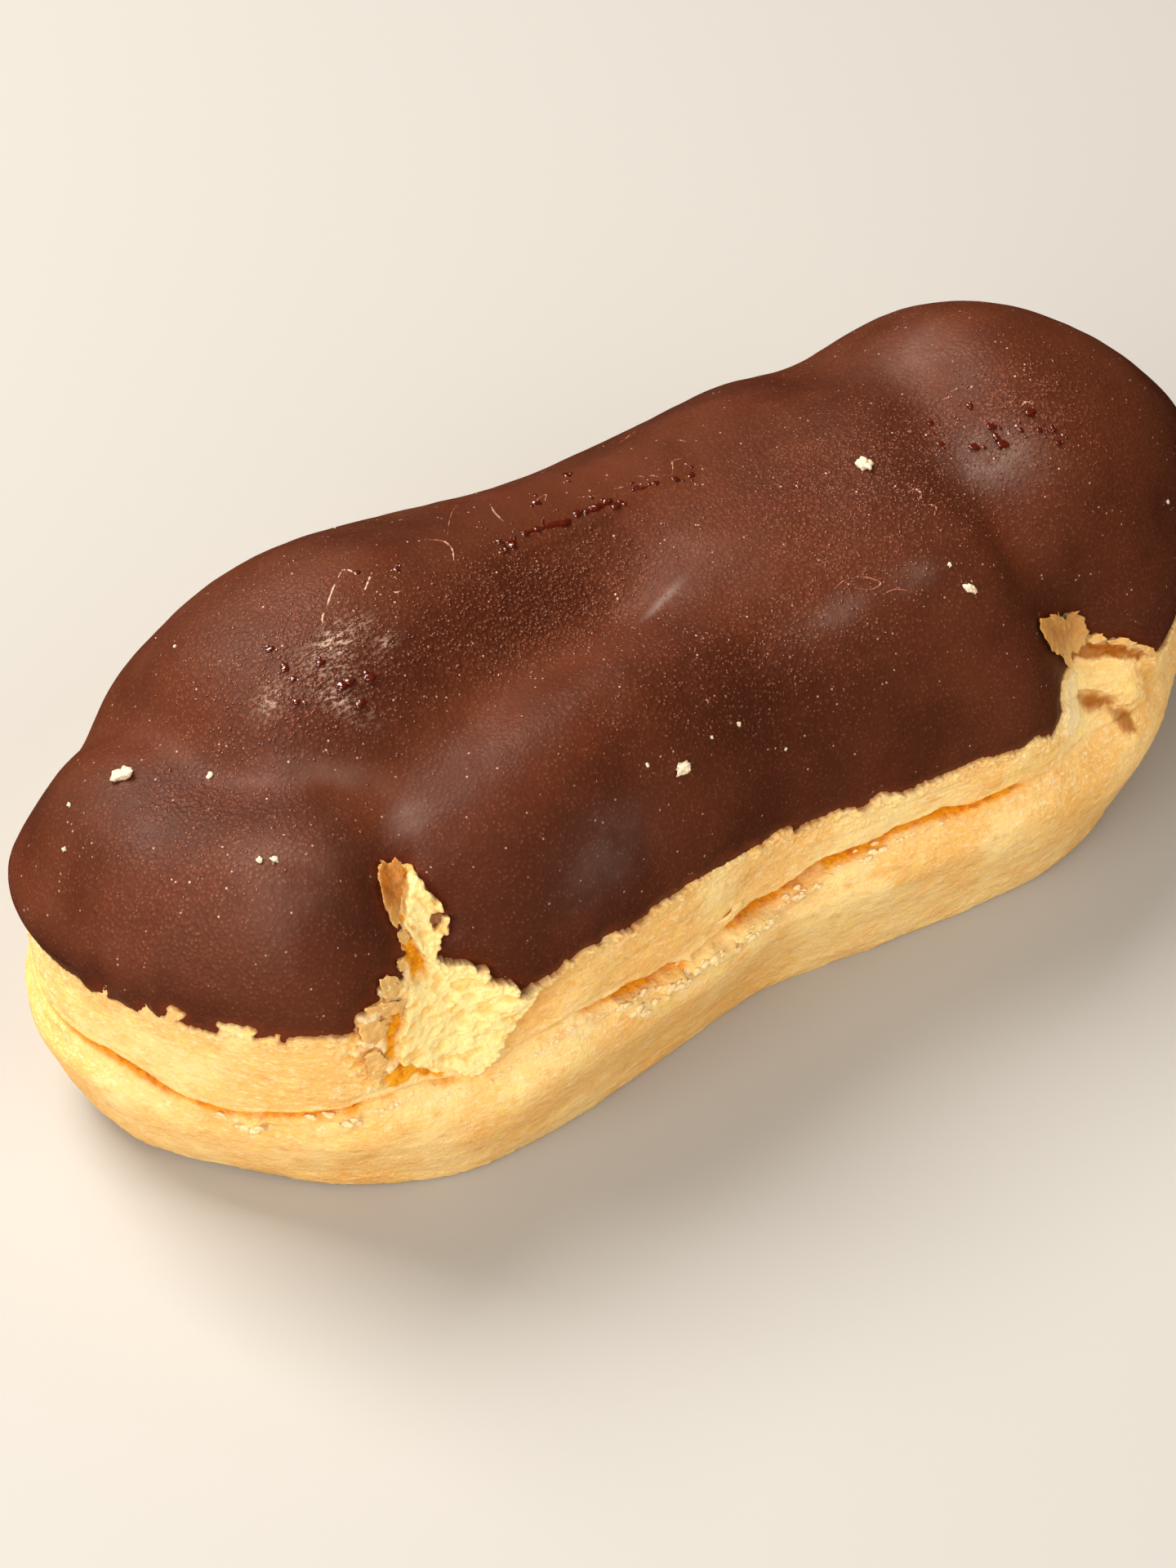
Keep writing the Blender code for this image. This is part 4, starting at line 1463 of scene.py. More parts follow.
@dataclass(frozen=True)
class BakedChoux:
    """Finish of the pastry: mottled gold, pale lips and crumb, painted orange shade in hollows and pores,
    ochre membranes.
    """

    name: str = "baked_choux"
    gold: tuple = colour(244, 186, 102)
    light: tuple = colour(254, 216, 142)
    yellow: tuple = colour(255, 220, 120)
    brown: tuple = colour(222, 152, 66)
    # The next two colours are painted orange shade and glow for the crease and hollows
    hollow: tuple = colour(240, 162, 14)
    deep: tuple = colour(212, 122, 6)
    # Warmer, darker colour in the crumb's pores: painted shade in those recesses
    pore_shade: tuple = colour(240, 182, 82)
    crumb: tuple = colour(253, 224, 150)
    lips: tuple = colour(254, 230, 184)
    edge: tuple = colour(126, 40, 8)
    # Brown of the flaps, partly painted shade, and painted shade in the right notch's cavity and pits
    ochre_shade: tuple = colour(166, 90, 4)
    roughness: float = 0.62
    gloss: float = 0.3
    glow: float = 0.12
    glow_reach: tuple[float, float, float] = (1.0, 0.5, 0.18)
    glow_depth: float = 0.9

    def build(self) -> bpy.types.Material:
        """Builds the material.

        Returns:
            The material.
        """
        made = Shading(self.name)
        patches = made.ramp(made.noise(5.5, 3.0, 0.55), 0.38, 0.64)
        base = made.mix(patches, self.gold, self.light)
        yellow = made.ramp(made.noise(1.7, 4.0, 0.65), 0.50, 0.70, 0.0, 0.45)
        base = made.mix(yellow, base, self.yellow)
        streaks = made.ramp(made.noise(0.70, 4.0, 0.7, (1.8, 1.4, 0.9)), 0.48, 0.74, 0.0, 0.55)
        base = made.mix(streaks, base, self.brown)
        fibres = made.ramp(made.noise(0.26, 3.0, 0.75, (2.2, 1.6, 0.8)), 0.48, 0.70, 0.0, 0.60)
        base = made.mix(fibres, base, self.lips)
        specks = made.ramp(made.cells(0.42), 0.10, 0.34, 0.40, 0.0)
        base = made.mix(specks, base, self.light)
        base = made.over(base, "low", 0.20, self.brown)
        base = made.over(base, "crumb", 1.0, self.crumb)
        # Painted shade in the crumb's pores
        base = made.over(base, "pore_shade", 0.75, self.pore_shade)
        base = made.over(base, "pale", 0.8, self.lips)
        # Painted shade and glow in the crease and hollows, by the pit share
        hollow = made.mix(made.ramp(made.noise(0.5, 3.0, 0.6), 0.42, 0.66), self.hollow, self.deep)
        base = made.mix(made.painted("pit"), base, hollow)
        # Painted shade in the right notch, and the flaps' brown
        base = made.over(base, "ochre_shade", made.ramp(made.noise(0.8, 3.0), 0.3, 0.6, 0.8, 1.0), self.ochre_shade)
        base = made.over(base, "edge", 0.8, self.edge)
        normal = made.bump(made.noise(0.24, 4.0, 0.7), 0.10)
        normal = made.bump(made.noise(0.8, 4.0, 0.65, (1.8, 1.3, 0.8)), 0.14, normal)
        made.finish(base, {
            "Roughness": self.roughness,
            "Specular IOR Level": self.gloss,
            "Subsurface Weight": self.glow,
            "Subsurface Radius": self.glow_reach,
            "Subsurface Scale": self.glow_depth * MM,
            "Normal": normal,
        })
        return made.material


@dataclass(frozen=True)
class SetChocolate:
    """Finish of the coat: satin brown, fine beads with painted highlights, glints and shade, pale scuffs, and
    pale painted sheen and bloom.
    """

    name: str = "set_chocolate"
    brown: tuple = colour(90, 43, 22)
    deep: tuple = colour(74, 33, 16)
    red: tuple = colour(95, 40, 22)
    # Painted light on the stipple: shade between the beads, highlights on their tops, and tiny glints
    dark: tuple = colour(54, 18, 8)
    lit_bead_tops: tuple = colour(160, 102, 82)
    painted_glint: tuple = colour(240, 206, 184)
    # Pale grey of the painted sheen, highlights and bloom
    bloom_and_sheen: tuple = colour(140, 122, 112)
    scuff: tuple = colour(206, 176, 152)
    fringe: tuple = colour(124, 44, 14)
    sheen: tuple = (1.0, 0.86, 0.78, 1.0)
    roughness: tuple[float, float] = (0.46, 0.60)
    gloss: float = 0.19

    def build(self) -> bpy.types.Material:
        """Builds the material.

        Returns:
            The material.
        """
        made = Shading(self.name)
        damp, smooth = made.painted("damp"), made.painted("smooth")
        patches = made.ramp(made.noise(7.0, 3.0, 0.5), 0.36, 0.66)
        base = made.mix(patches, self.deep, self.brown)
        warm = made.ramp(made.noise(4.0, 3.0, 0.55), 0.48, 0.70, 0.0, 0.35)
        base = made.mix(warm, base, self.red)
        grains = made.cells(0.21)
        uneven = made.ramp(made.noise(0.7, 3.0, 0.6), 0.36, 0.66, 0.10, 1.0)
        stippled = made.math("ADD", made.math("MULTIPLY", damp, 0.70), 0.30)
        stippled = made.math("SUBTRACT", stippled, made.math("MULTIPLY", smooth, 0.25))
        # Painted shade between the beads
        between = made.math("MULTIPLY", made.ramp(grains, 0.34, 0.62, 0.0, 0.55), stippled)
        base = made.mix(between, base, self.dark)
        # Painted highlights on the bead tops
        top = made.math("MULTIPLY", made.ramp(grains, 0.06, 0.36, 0.80, 0.0), stippled)
        base = made.mix(made.math("MULTIPLY", top, uneven), base, self.lit_bead_tops)
        # Painted glints, more where the coat is damp
        painted_glint = made.ramp(made.cells(0.50), 0.07, 0.14, 1.0, 0.0)
        painted_glint = made.math("MULTIPLY", painted_glint, made.ramp(made.noise(0.9, 1.0), 0.52, 0.60))
        painted_glint = made.math("MULTIPLY", painted_glint, made.math("ADD", made.math("MULTIPLY", damp, 0.6), 0.35))
        base = made.mix(painted_glint, base, self.painted_glint)
        # Painted sheen, highlights and bloom, in soft patches
        hazy = made.ramp(made.noise(1.4, 3.0), 0.25, 0.75, 0.35, 1.0)
        bloom_and_sheen = made.math("MULTIPLY", made.painted("bloom_and_sheen"), hazy)
        base = made.mix(made.math("MULTIPLY", bloom_and_sheen, 0.40), base, self.bloom_and_sheen)
        scratch = made.ramp(made.noise(0.20, 3.0, 0.75, (2.2, 0.8, 1.0)), 0.46, 0.66)
        scuff = made.math("MULTIPLY", made.painted("scuff"), scratch)
        base = made.mix(made.math("MULTIPLY", scuff, 0.80), base, self.scuff)
        base = made.over(base, "fringe", 0.35, self.fringe)
        grain = made.math("SUBTRACT", made.noise(0.16, 2.0, 0.6), grains)
        stipple = made.math("MULTIPLY", grain, stippled)
        normal = made.bump(made.noise(1.2, 2.0, 0.5), 0.04)
        made.finish(base, {
            "Roughness": made.ramp(made.noise(2.4, 3.0, 0.6), 0.3, 0.7, *self.roughness),
            "Specular IOR Level": self.gloss,
            "Specular Tint": self.sheen,
            "Normal": made.bump(stipple, 0.065, normal),
        })
        return made.material


@dataclass(frozen=True)
class PlainFinish:
    """Finish of a small piece: one colour, a roughness, a specular level and a glow inside."""

    name: str
    tint: tuple
    roughness: float
    gloss: float = 0.5
    glow: float = 0.0

    def build(self) -> bpy.types.Material:
        """Builds the material.

        Returns:
            The material.
        """
        made = Shading(self.name)
        darker = tuple(0.72 * part for part in self.tint[:3]) + (1.0,)
        made.finish(made.mix(made.ramp(made.noise(0.15, 2.0), 0.40, 0.60), self.tint, darker), {
            "Roughness": self.roughness,
            "Specular IOR Level": self.gloss,
            "Subsurface Weight": self.glow,
            "Subsurface Scale": 0.3 * MM,
        })
        return made.material


SUGAR_FINISH = PlainFinish("pale_sugar", colour(240, 216, 184), 0.5, 0.4, 0.3)
SCRATCH_FINISH = PlainFinish("scratched_fat", colour(206, 168, 138), 0.6, 0.3)
BEAD_FINISH = PlainFinish("damp_chocolate", colour(110, 56, 36), 0.22, 0.6)
DROP_FINISH = PlainFinish("dark_damp_chocolate", colour(82, 24, 10), 0.14, 0.8)
CURL_FINISH = PlainFinish("glossy_chocolate", colour(160, 98, 74), 0.18, 0.9)


def dress(piece: Piece, finish: bpy.types.Material, slot: Slot, *nodes: str) -> None:
    """Gives a piece its finish and its body, and hides the frame nodes that it stands for.

    Args:
        piece: the object.
        finish: its material.
        slot: the record's slot; not used.
        nodes: frame nodes that it takes the place of.
    """
    piece.data.materials.append(finish)
    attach(piece, BODY)
    if nodes:
        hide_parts(*nodes)
    LOG.info("%s: %d faces", piece.name, len(piece.data.polygons))


@dataclass
class ChouxBody:
    """The pastry in one closed body: columns round it and rows from the crown to the base."""

    form: BunForm
    edge: TornEdge
    relief: ChouxRelief
    column_count: int = 940
    crown_rows: int = 7
    rim_rows: int = 12
    strip_rows: int = 15
    crease_rows: int = 24
    shell_rows: int = 36
    base_rows: int = 6
    weights: tuple[float, float] = (1.25, 1.9)
    flat_from: float = 0.985
    base_end: float = 1.47
    below_covers: float = 0.45

    def rows(self, column: Array) -> Array:
        """Swings of the rows in every column: crown, round the edge, strip, crease, shell and base.

        Args:
            column: columns, in radians.

        Returns:
            Swings, one line of columns for each row.
        """
        form = self.form
        rim_of_base = np.full_like(column, np.pi)
        torn = form.edge_height(column)
        rim = form.plain(column, rim_of_base / 2)
        crease = self.relief.crease.height(rim[:, 0], rim[:, 1])
        levels = (torn + 1.0, torn - 0.8, crease + 0.8, crease - 0.9)
        stops = [np.zeros_like(column), *(form.swing_at_height(column, level) for level in levels)]
        stops += [rim_of_base, np.full_like(column, self.base_end * np.pi)]
        counts = (self.crown_rows, self.rim_rows, self.strip_rows, self.crease_rows, self.shell_rows)
        swings = []
        for start, end, count in zip(stops, stops[1:], (*counts, self.base_rows)):
            swings += [start + (end - start) * step / count for step in range(1, count + 1)]
        return np.array(swings)

    def build(self, placing: Placing) -> Piece:
        """Builds the mesh: form plus relief along the plain normals, flat under its base.

        Args:
            placing: turns millimetres into the part's metres.

        Returns:
            The object.
        """
        column = self.form.columns(self.column_count, *self.weights)
        swing = self.rows(column)
        columns = np.broadcast_to(column, swing.shape)
        angle = self.form.lean(columns, swing)
        plain = self.form.plain(angle, swing)
        away = np.full(swing.shape, 5.0)
        upper = self.crown_rows + self.rim_rows + self.strip_rows
        nominal = nominal_height(self.form, columns[:upper], swing[:upper])
        away[:upper] = self.edge.distance(plain[:upper], columns[:upper], nominal)
        skin = self.relief.skin(plain, away)
        covered = cover_mask(self.form, plain, away)
        offset = skin.offset - self.below_covers * covered
        points, _ = self.form.on_skin(angle, swing, np.where(swing > self.flat_from * np.pi, 0.0, offset))
        points[..., 2] = np.where(swing >= np.pi - 1e-9, 0.0, points[..., 2])
        height = points[..., 2] + np.where(swing > np.pi / 2, self.form.heel(points), 0.0)
        under = 1 - smooth_step(swing, np.pi, 1.2 * np.pi)
        points[..., 2] = np.maximum(np.where(swing > np.pi + 1e-6, height * under, height), 0.0)
        crown = points[0].mean(axis=0)
        base = points[-1].mean(axis=0)
        rows, count = swing.shape
        every = np.concatenate([crown[None], points.reshape(-1, 3), base[None]])
        faces = closed_faces(rows, count)
        return make_mesh("choux_body", placing.metres(every), faces, padded(skin.paint, 1, 1))


def nominal_height(form: BunForm, column: Array, swing: Array) -> Array:
    """Height at which swing_at_height gives a swing in a column, above the widest line or below it.

    Args:
        form: the bun's form.
        column: columns, in radians.
        swing: swings, in radians.

    Returns:
        Heights in millimetres.
    """
    climb = np.clip(1 - np.sin(np.minimum(swing, np.pi / 2)) ** form.shoulder_power(column), 0.0, 1.0)
    upper = form.widest_height + (form.crown_height - form.widest_height) * climb ** (1 / form.crown_power)
    lower = form.widest_height * (1 - np.cos(np.pi - np.maximum(swing, np.pi / 2)))
    return np.where(swing <= np.pi / 2, upper, lower)


def cover_mask(form: BunForm, plain: Array, away: Array) -> Array:
    """Where finer surfaces lie over the pastry: 1 inside the rim band and the two torn patches."""
    band = smooth_step(away, -1.2, -0.8) * (1 - smooth_step(away, 1.15, 1.4))
    return np.maximum(band, patch_mask(plain))


@dataclass(frozen=True)
class Window:
    """A stretch of the front, from low to high x of the columns and nominal height."""

    name: str
    x: tuple[float, float]
    z: tuple[float, float]


LEFT_WINDOW = Window("left_tear", (-27.6, -15.6), (7.0, 20.4))
RIGHT_WINDOW = Window("right_tear", (13.9, 27.4), (6.4, 18.6))


def patch_mask(plain: Array) -> Array:
    """1 well inside the windows of the front, falling to 0 towards their borders.

    Args:
        plain: points on the plain form.

    Returns:
        Shares from 0 to 1.
    """
    x, y, z = plain[..., 0], plain[..., 1], plain[..., 2]
    total = np.zeros(x.shape)
    for window in (LEFT_WINDOW, RIGHT_WINDOW):
        from_sides = np.minimum(x - window.x[0], window.x[1] - x)
        from_ends = np.minimum(z - window.z[0], window.z[1] - z)
        total += smooth_step(np.minimum(from_sides, from_ends), 0.9, 1.3) * (y < -4.0)
    return np.clip(total, 0.0, 1.0)


@dataclass
class TornPatch:
    """A fine surface over the pastry in one notch, closed inside by a fan to one point."""

    form: BunForm
    edge: TornEdge
    relief: ChouxRelief
    window: Window
    step: float = 0.058
    samples: int = 6000
    border_sink: float = 0.5
    depth: float = 4.0

    def build(self, placing: Placing) -> Piece:
        """Builds the mesh on a grid of columns and nominal heights.

        Args:
            placing: turns millimetres into the part's metres.

        Returns:
            The object.
        """
        angle_line = np.linspace(np.pi + 0.02, FULL_TURN - 0.02, self.samples)
        x_line = self.form.rim_x(angle_line)
        x = np.arange(self.window.x[0], self.window.x[1], self.step)
        z = np.arange(self.window.z[1], self.window.z[0], -self.step)
        column = np.interp(x, x_line, angle_line)
        columns, heights = np.meshgrid(column, z)
        swing = self.form.swing_at_height(columns, heights)
        angle = self.form.lean(columns, swing)
        plain = self.form.plain(angle, swing)
        away = self.edge.distance(plain, columns, heights)
        skin = self.relief.skin(plain, away)
        rows, count = columns.shape
        row = np.arange(rows)[:, None] * self.step
        side = np.arange(count)[None, :] * self.step
        inside = np.minimum(np.minimum(row, row[-1] - row), np.minimum(side, side[0, -1] - side))
        sink = self.border_sink * (1 - smooth_step(inside, 0.1, 0.75))
        points, _ = self.form.on_skin(angle, swing, skin.offset - sink)
        border = sheet_border(rows, count)
        apex = points.reshape(-1, 3).mean(axis=0) + np.array([0.0, self.depth, 0.0])
        fan = np.stack([border, np.full(len(border), rows * count), np.roll(border, -1)], axis=-1)[:, ::-1]
        every = np.concatenate([points.reshape(-1, 3), apex[None]])
        faces = [sheet_faces(rows, count), fan]
        return make_mesh(self.window.name, placing.metres(every), faces, padded(skin.paint, 0, 1))


@dataclass
class TornRim:
    """A fine band round the coat's lower edge, closed by one row inside the pastry."""

    form: BunForm
    edge: TornEdge
    relief: ChouxRelief
    column_count: int = 1700
    row_count: int = 42
    weights: tuple[float, float] = (1.25, 1.25)
    above: float = 0.9
    below: float = 2.0
    depth: float = 2.2

    def build(self, placing: Placing) -> Piece:
        """Builds the mesh on columns and on heights from the edge.

        Args:
            placing: turns millimetres into the part's metres.

        Returns:
            The object.
        """
        column = self.form.columns(self.column_count, *self.weights)
        level = self.form.edge_height(column, torn=False)
        steps = np.linspace(self.above, -self.below, self.row_count)[:, None]
        heights = level[None, :] + steps
        columns = np.broadcast_to(column, heights.shape)
        swing = self.form.swing_at_height(columns, heights)
        angle = self.form.lean(columns, swing)
        plain = self.form.plain(angle, swing)
        away = self.edge.distance(plain, columns, heights)
        skin = self.relief.skin(plain, away)
        sink = 0.6 * (1 - smooth_step(self.below + steps, 0.05, 0.35)) + 0.3 * smooth_step(steps, 0.6, 0.9)
        points, normal = self.form.on_skin(angle, swing, skin.offset - sink - 0.5 * patch_mask(plain))
        middle = self.row_count // 2
        inner = points[middle] - normal[middle] * self.depth
        rows = self.row_count + 1
        every = np.concatenate([points.reshape(-1, 3), inner])
        faces = [ring_faces(rows, self.column_count, wrap=True)]
        return make_mesh("torn_rim", placing.metres(every), faces, padded(skin.paint, 0, self.column_count))


@dataclass
class ChocolateCoat:
    """The coat as a closed skin: out from the crown to its edge, and back along its inside."""

    form: BunForm
    edge: TornEdge
    relief: CoatRelief
    column_count: int = 980
    outer_rows: int = 74
    edge_rows: int = 12
    inner_rows: int = 8
    weights: tuple[float, float] = (1.1, 1.7)
    rounding: float = 1.1
    tuck: float = 0.9

    def build(self, placing: Placing) -> Piece:
        """Builds the mesh: form plus the coat's relief, then the inner face under it.

        Args:
            placing: turns millimetres into the part's metres.

        Returns:
            The object.
        """
        form = self.form
        column = form.columns(self.column_count, *self.weights)
        level = form.edge_height(column, torn=False)
        upper = form.swing_at_height(column, level + self.rounding)
        lower = form.swing_at_height(column, level - self.tuck)
        outer = [upper * step / self.outer_rows for step in range(1, self.outer_rows + 1)]
        outer += [upper + (lower - upper) * step / self.edge_rows for step in range(1, self.edge_rows + 1)]
        inner = [lower * (1 - step / self.inner_rows) for step in range(1, self.inner_rows)]
        swing = np.array(outer)
        columns = np.broadcast_to(column, swing.shape)
        angle = form.lean(columns, swing)
        plain = form.plain(angle, swing)
        away = self.edge.distance(plain, columns, nominal_height(form, columns, swing))
        skin = self.relief.skin(plain, away)
        face, _ = form.on_skin(angle, swing, skin.offset)
        back_swing = np.array(inner)
        back_columns = np.broadcast_to(column, back_swing.shape)
        back_angle = form.lean(back_columns, back_swing)
        back_plain = form.plain(back_angle, back_swing)
        nominal = nominal_height(form, back_columns, back_swing)
        back_away = self.edge.distance(back_plain, back_columns, nominal)
        deeper = self.relief.dive * smooth_step(back_away, -0.6, 0.8)
        back, _ = form.on_skin(back_angle, back_swing, self.relief.tucked - deeper)
        crown_out = form.plain(np.zeros(1), np.zeros(1))
        lift = form.swell_height(crown_out)[:, None] * np.array([0.0, 0.0, 1.0])
        crown_in = crown_out + lift + np.array([0.0, 0.0, self.relief.tucked])
        crown_out = crown_out + lift + np.array([0.0, 0.0, float(skin.offset[0].mean())])
        points = np.concatenate([face.reshape(-1, 3), back.reshape(-1, 3)])
        rows = len(outer) + len(inner)
        every = np.concatenate([crown_out, points, crown_in])
        paint = padded(skin.paint, 1, len(inner) * self.column_count + 1)
        faces = closed_faces(rows, self.column_count)
        return make_mesh("chocolate_coat", placing.metres(every), faces, paint)


class Blobs:
    """Small closed lumps set on a surface, all in one mesh."""

    def __init__(self, rings: int, sides: int, rough: float, seed: int) -> None:
        """Sets the grid of each lump and how uneven it is.

        Args:
            rings: rings of each lump.
            sides: points of a ring.
            rough: share of the radius that is uneven.
            seed: sets the random draws.
        """
        self.rings = rings
        self.sides = sides
        self.rough = rough
        self.noise = GradientNoise(seed)
        self.draw = np.random.default_rng(seed)

    def directions(self) -> Array:
        """Unit directions of a lump's points: a pole, the rings, and the other pole.

        Returns:
            Unit vectors.
        """
        down = np.pi * np.arange(1, self.rings + 1)[:, None] / (self.rings + 1)
        turn = FULL_TURN * np.arange(self.sides)[None, :] / self.sides
        down, turn = np.broadcast_arrays(down, turn)
        ring = np.stack([np.sin(down) * np.cos(turn), np.sin(down) * np.sin(turn), np.cos(down)], axis=-1)
        return np.concatenate([[[0.0, 0.0, 1.0]], ring.reshape(-1, 3), [[0.0, 0.0, -1.0]]])

    def build(
        self,
        name: str,
        seat: tuple[Array, Array],
        radii: Array,
        placing: Placing,
        paint: dict[str, float] | None = None,
    ) -> Piece:
        """Builds the mesh.

        Args:
            name: the piece's name.
            seat: middle of each lump, and the direction of its short axis.
            radii: two long half axes and a short one, for each lump.
            placing: turns millimetres into the part's metres.
            paint: values that hold all over the lumps, by attribute name.

        Returns:
            The object, whose lumps are ellipsoids with gradient noise in their radius, spun at random.
        """
        centres, normals = seat
        count = len(centres)
        unit = self.directions()
        spin = self.draw.uniform(0, FULL_TURN, count)
        aside = np.stack([np.cos(spin), np.sin(spin), np.zeros(count)], axis=-1)
        first = aside - normals * (aside * normals).sum(axis=1, keepdims=True)
        first = first / np.linalg.norm(first, axis=1, keepdims=True)
        second = np.cross(normals, first)
        places = unit[None] * 1.1 + 7.7 * np.arange(count)[:, None, None]
        uneven = 1 + self.rough * (self.noise.at(places, 0.9) + 0.5 * self.noise.at(places, 0.4))
        scaled = unit[None] * radii[:, None, :] * uneven[..., None]
        points = centres[:, None] + scaled[..., :1] * first[:, None] + scaled[..., 1:2] * second[:, None]
        points = points + scaled[..., 2:] * normals[:, None]
        points = points.reshape(-1, 3)
        values = {key: np.full(len(points), value) for key, value in (paint or {}).items()}
        faces = repeated(closed_faces(self.rings, self.sides), count, len(unit))
        return make_mesh(name, placing.metres(points), faces, values)


@dataclass(frozen=True)
class Flap:
    """A thin torn membrane on the front, by its outline in the photograph's pixels.

    lift is how far its middle stands off the form, tilt its rise for each millimetre along x and z, curl
    the rise of its rim, ochre how brown it is, partly its own colour and partly painted shade, and fade
    how much of that it loses downwards, so that its top stays browner.
    """

    name: str
    pixels: tuple[tuple[int, int], ...]
    lift: float
    tilt: tuple[float, float] = (0.0, 0.0)
    curl: float = 0.0
    ochre_shade: float = 0.0
    fade: float = 0.0
    thickness: float = 0.10


@dataclass
class Flaps:
    """Torn membranes in one mesh, each a closed lens bent on to the form."""

    form: BunForm
    sight: Sight
    name: str
    flaps: tuple[Flap, ...]
    rings: int = 14
    sides: int = 72
    seed: int = 41

    def lens(self, flap: Flap, number: int, noise: GradientNoise) -> tuple[Array, Array]:
        """Points of one flap and the share of ochre brown at each, partly painted shade.

        The rim follows the outline's corners round their middle, with a little noise. The middle surface
        lies at lift, plus the tilt, plus a curl that grows with the square of the share to the rim.

        Args:
            flap: the membrane.
            number: its number, which moves its noise.
            noise: the noise.

        Returns:
            The points, and a value for each.
        """
        corners = self.sight.front_places(flap.pixels, flap.lift)
        middle = corners.mean(axis=0)
        around = np.arctan2(corners[:, 1] - middle[1], corners[:, 0] - middle[0])
        order = np.argsort(around)
        share = np.linspace(1 / self.rings, 1.0, self.rings)[:, None]
        turn = FULL_TURN * np.arange(self.sides) / self.sides - np.pi
        wrapped = np.concatenate([corners[order][-1:], corners[order], corners[order][:1]])
        turns = around[order]
        angles = np.concatenate([turns[-1:] - FULL_TURN, turns, turns[:1] + FULL_TURN])
        rim = np.stack([np.interp(turn, angles, wrapped[:, axis]) for axis in (0, 1)], axis=-1) - middle
        key = np.concatenate([rim, np.full((self.sides, 1), 3.7 * number)], axis=1)
        reach = share * (1 + 0.16 * noise.at(key, 0.45) + 0.18 * noise.at(key, 0.18))
        x = middle[0] + np.append(0.0, (reach * rim[:, 0]).ravel())
        z = middle[1] + np.append(0.0, (reach * rim[:, 1]).ravel())
        radius = np.append(0.0, np.broadcast_to(share, reach.shape).ravel())
        angle, swing = self.form.front(x, z)
        ripple = np.stack([x, z, np.full(x.shape, 5.0 * number)], axis=-1)
        height = flap.lift + flap.tilt[0] * (x - middle[0]) + flap.tilt[1] * (z - middle[1])
        height = height + flap.curl * radius**2 + 0.12 * noise.at(ripple, 0.8) + 0.08 * noise.at(ripple, 0.3)
        half = 0.5 * flap.thickness * np.sqrt(np.clip(1.02 - radius**4, 0.02, 1.0))
        upper, _ = self.form.on_skin(angle, swing, height + half)
        lower, _ = self.form.on_skin(angle, swing, height - half)
        # Painted shade, browner at the flap's top under the coat's edge
        ochre_shade = flap.ochre_shade * (1 - 0.3 * radius**8) * (1 - flap.fade * smooth_step(middle[1] - z, -0.2, 1.5))
        return np.concatenate([upper, lower]), np.concatenate([ochre_shade, ochre_shade])

    def lens_faces(self) -> list[Array]:
        """Faces of one flap: both sides with their middles, and the rim between them.

        Returns:
            Arrays of corner numbers.
        """
        other = self.rings * self.sides + 1
        number = np.arange(self.sides)
        after = (number + 1) % self.sides
        quads = ring_faces(self.rings, self.sides) + 1
        fan = np.stack([np.zeros(self.sides, dtype=int), 1 + number, 1 + after], axis=-1)
        last = 1 + (self.rings - 1) * self.sides
        rim = np.stack([last + number, last + number + other, last + after + other, last + after], axis=-1)
        return [quads, quads[:, ::-1] + other, rim, fan, fan[:, ::-1] + other]

    def build(self, placing: Placing) -> Piece:
        """Builds the mesh of all the flaps.

        Args:
            placing: turns millimetres into the part's metres.

        Returns:
            The object.
        """
        noise = GradientNoise(self.seed)
        made = [self.lens(flap, number, noise) for number, flap in enumerate(self.flaps)]
        points = np.concatenate([part[0] for part in made])
        ochre_shade = np.concatenate([part[1] for part in made])
        faces = repeated(self.lens_faces(), len(made), len(made[0][0]))
        # Painted golden glow on flaps that are partly ochre
        painted_glow = 1.6 * ochre_shade * (1 - np.clip(ochre_shade, 0.0, 1.0))
        paint = {"crumb": 0.30 * (1 - ochre_shade), "pale": np.zeros(len(ochre_shade)), "ochre_shade": ochre_shade, "pit": painted_glow}
        return make_mesh(self.name, placing.metres(points), faces, paint)


LEFT_FLAPS = (
    Flap("flap", (
        (463, 1061), (470, 1057), (484, 1055), (493, 1058), (493, 1080), (491, 1104), (488, 1124),
        (486, 1136), (479, 1129), (472, 1110), (466, 1086),
    ), 0.42, (-0.06, 0.06), 0.06, 1.0, 0.55),
    Flap("upper curl", (
        (487, 1142), (495, 1140), (501, 1149), (497, 1157), (489, 1153),
    ), 0.30, (0, 0), 0.1, 0.3, 0, 0.24),
    Flap("lower curl", (
        (485, 1177), (494, 1172), (501, 1178), (499, 1187), (490, 1189),
    ), 0.30, (0, 0), 0.1, 0.3, 0, 0.24),
    Flap("first flake", (
        (464, 1198), (474, 1192), (488, 1198), (495, 1208), (486, 1220), (470, 1220),
    ), 0.34, (0, 0.1), 0.06, 0.24),
    Flap("second flake", (
        (450, 1234), (466, 1226), (484, 1224), (498, 1222), (494, 1236), (476, 1246), (456, 1246),
    ), 0.32, (0, 0.12), 0.06, 0.26),
    Flap("third flake", (
        (438, 1254), (456, 1244), (472, 1250), (476, 1264), (460, 1280), (444, 1276),
    ), 0.30, (0, 0.1), 0.06, 0.22),
    Flap("fourth flake", (
        (446, 1292), (464, 1284), (474, 1298), (468, 1318), (452, 1324),
    ), 0.30, (0.0, 0.1), 0.06, 0.18),
)
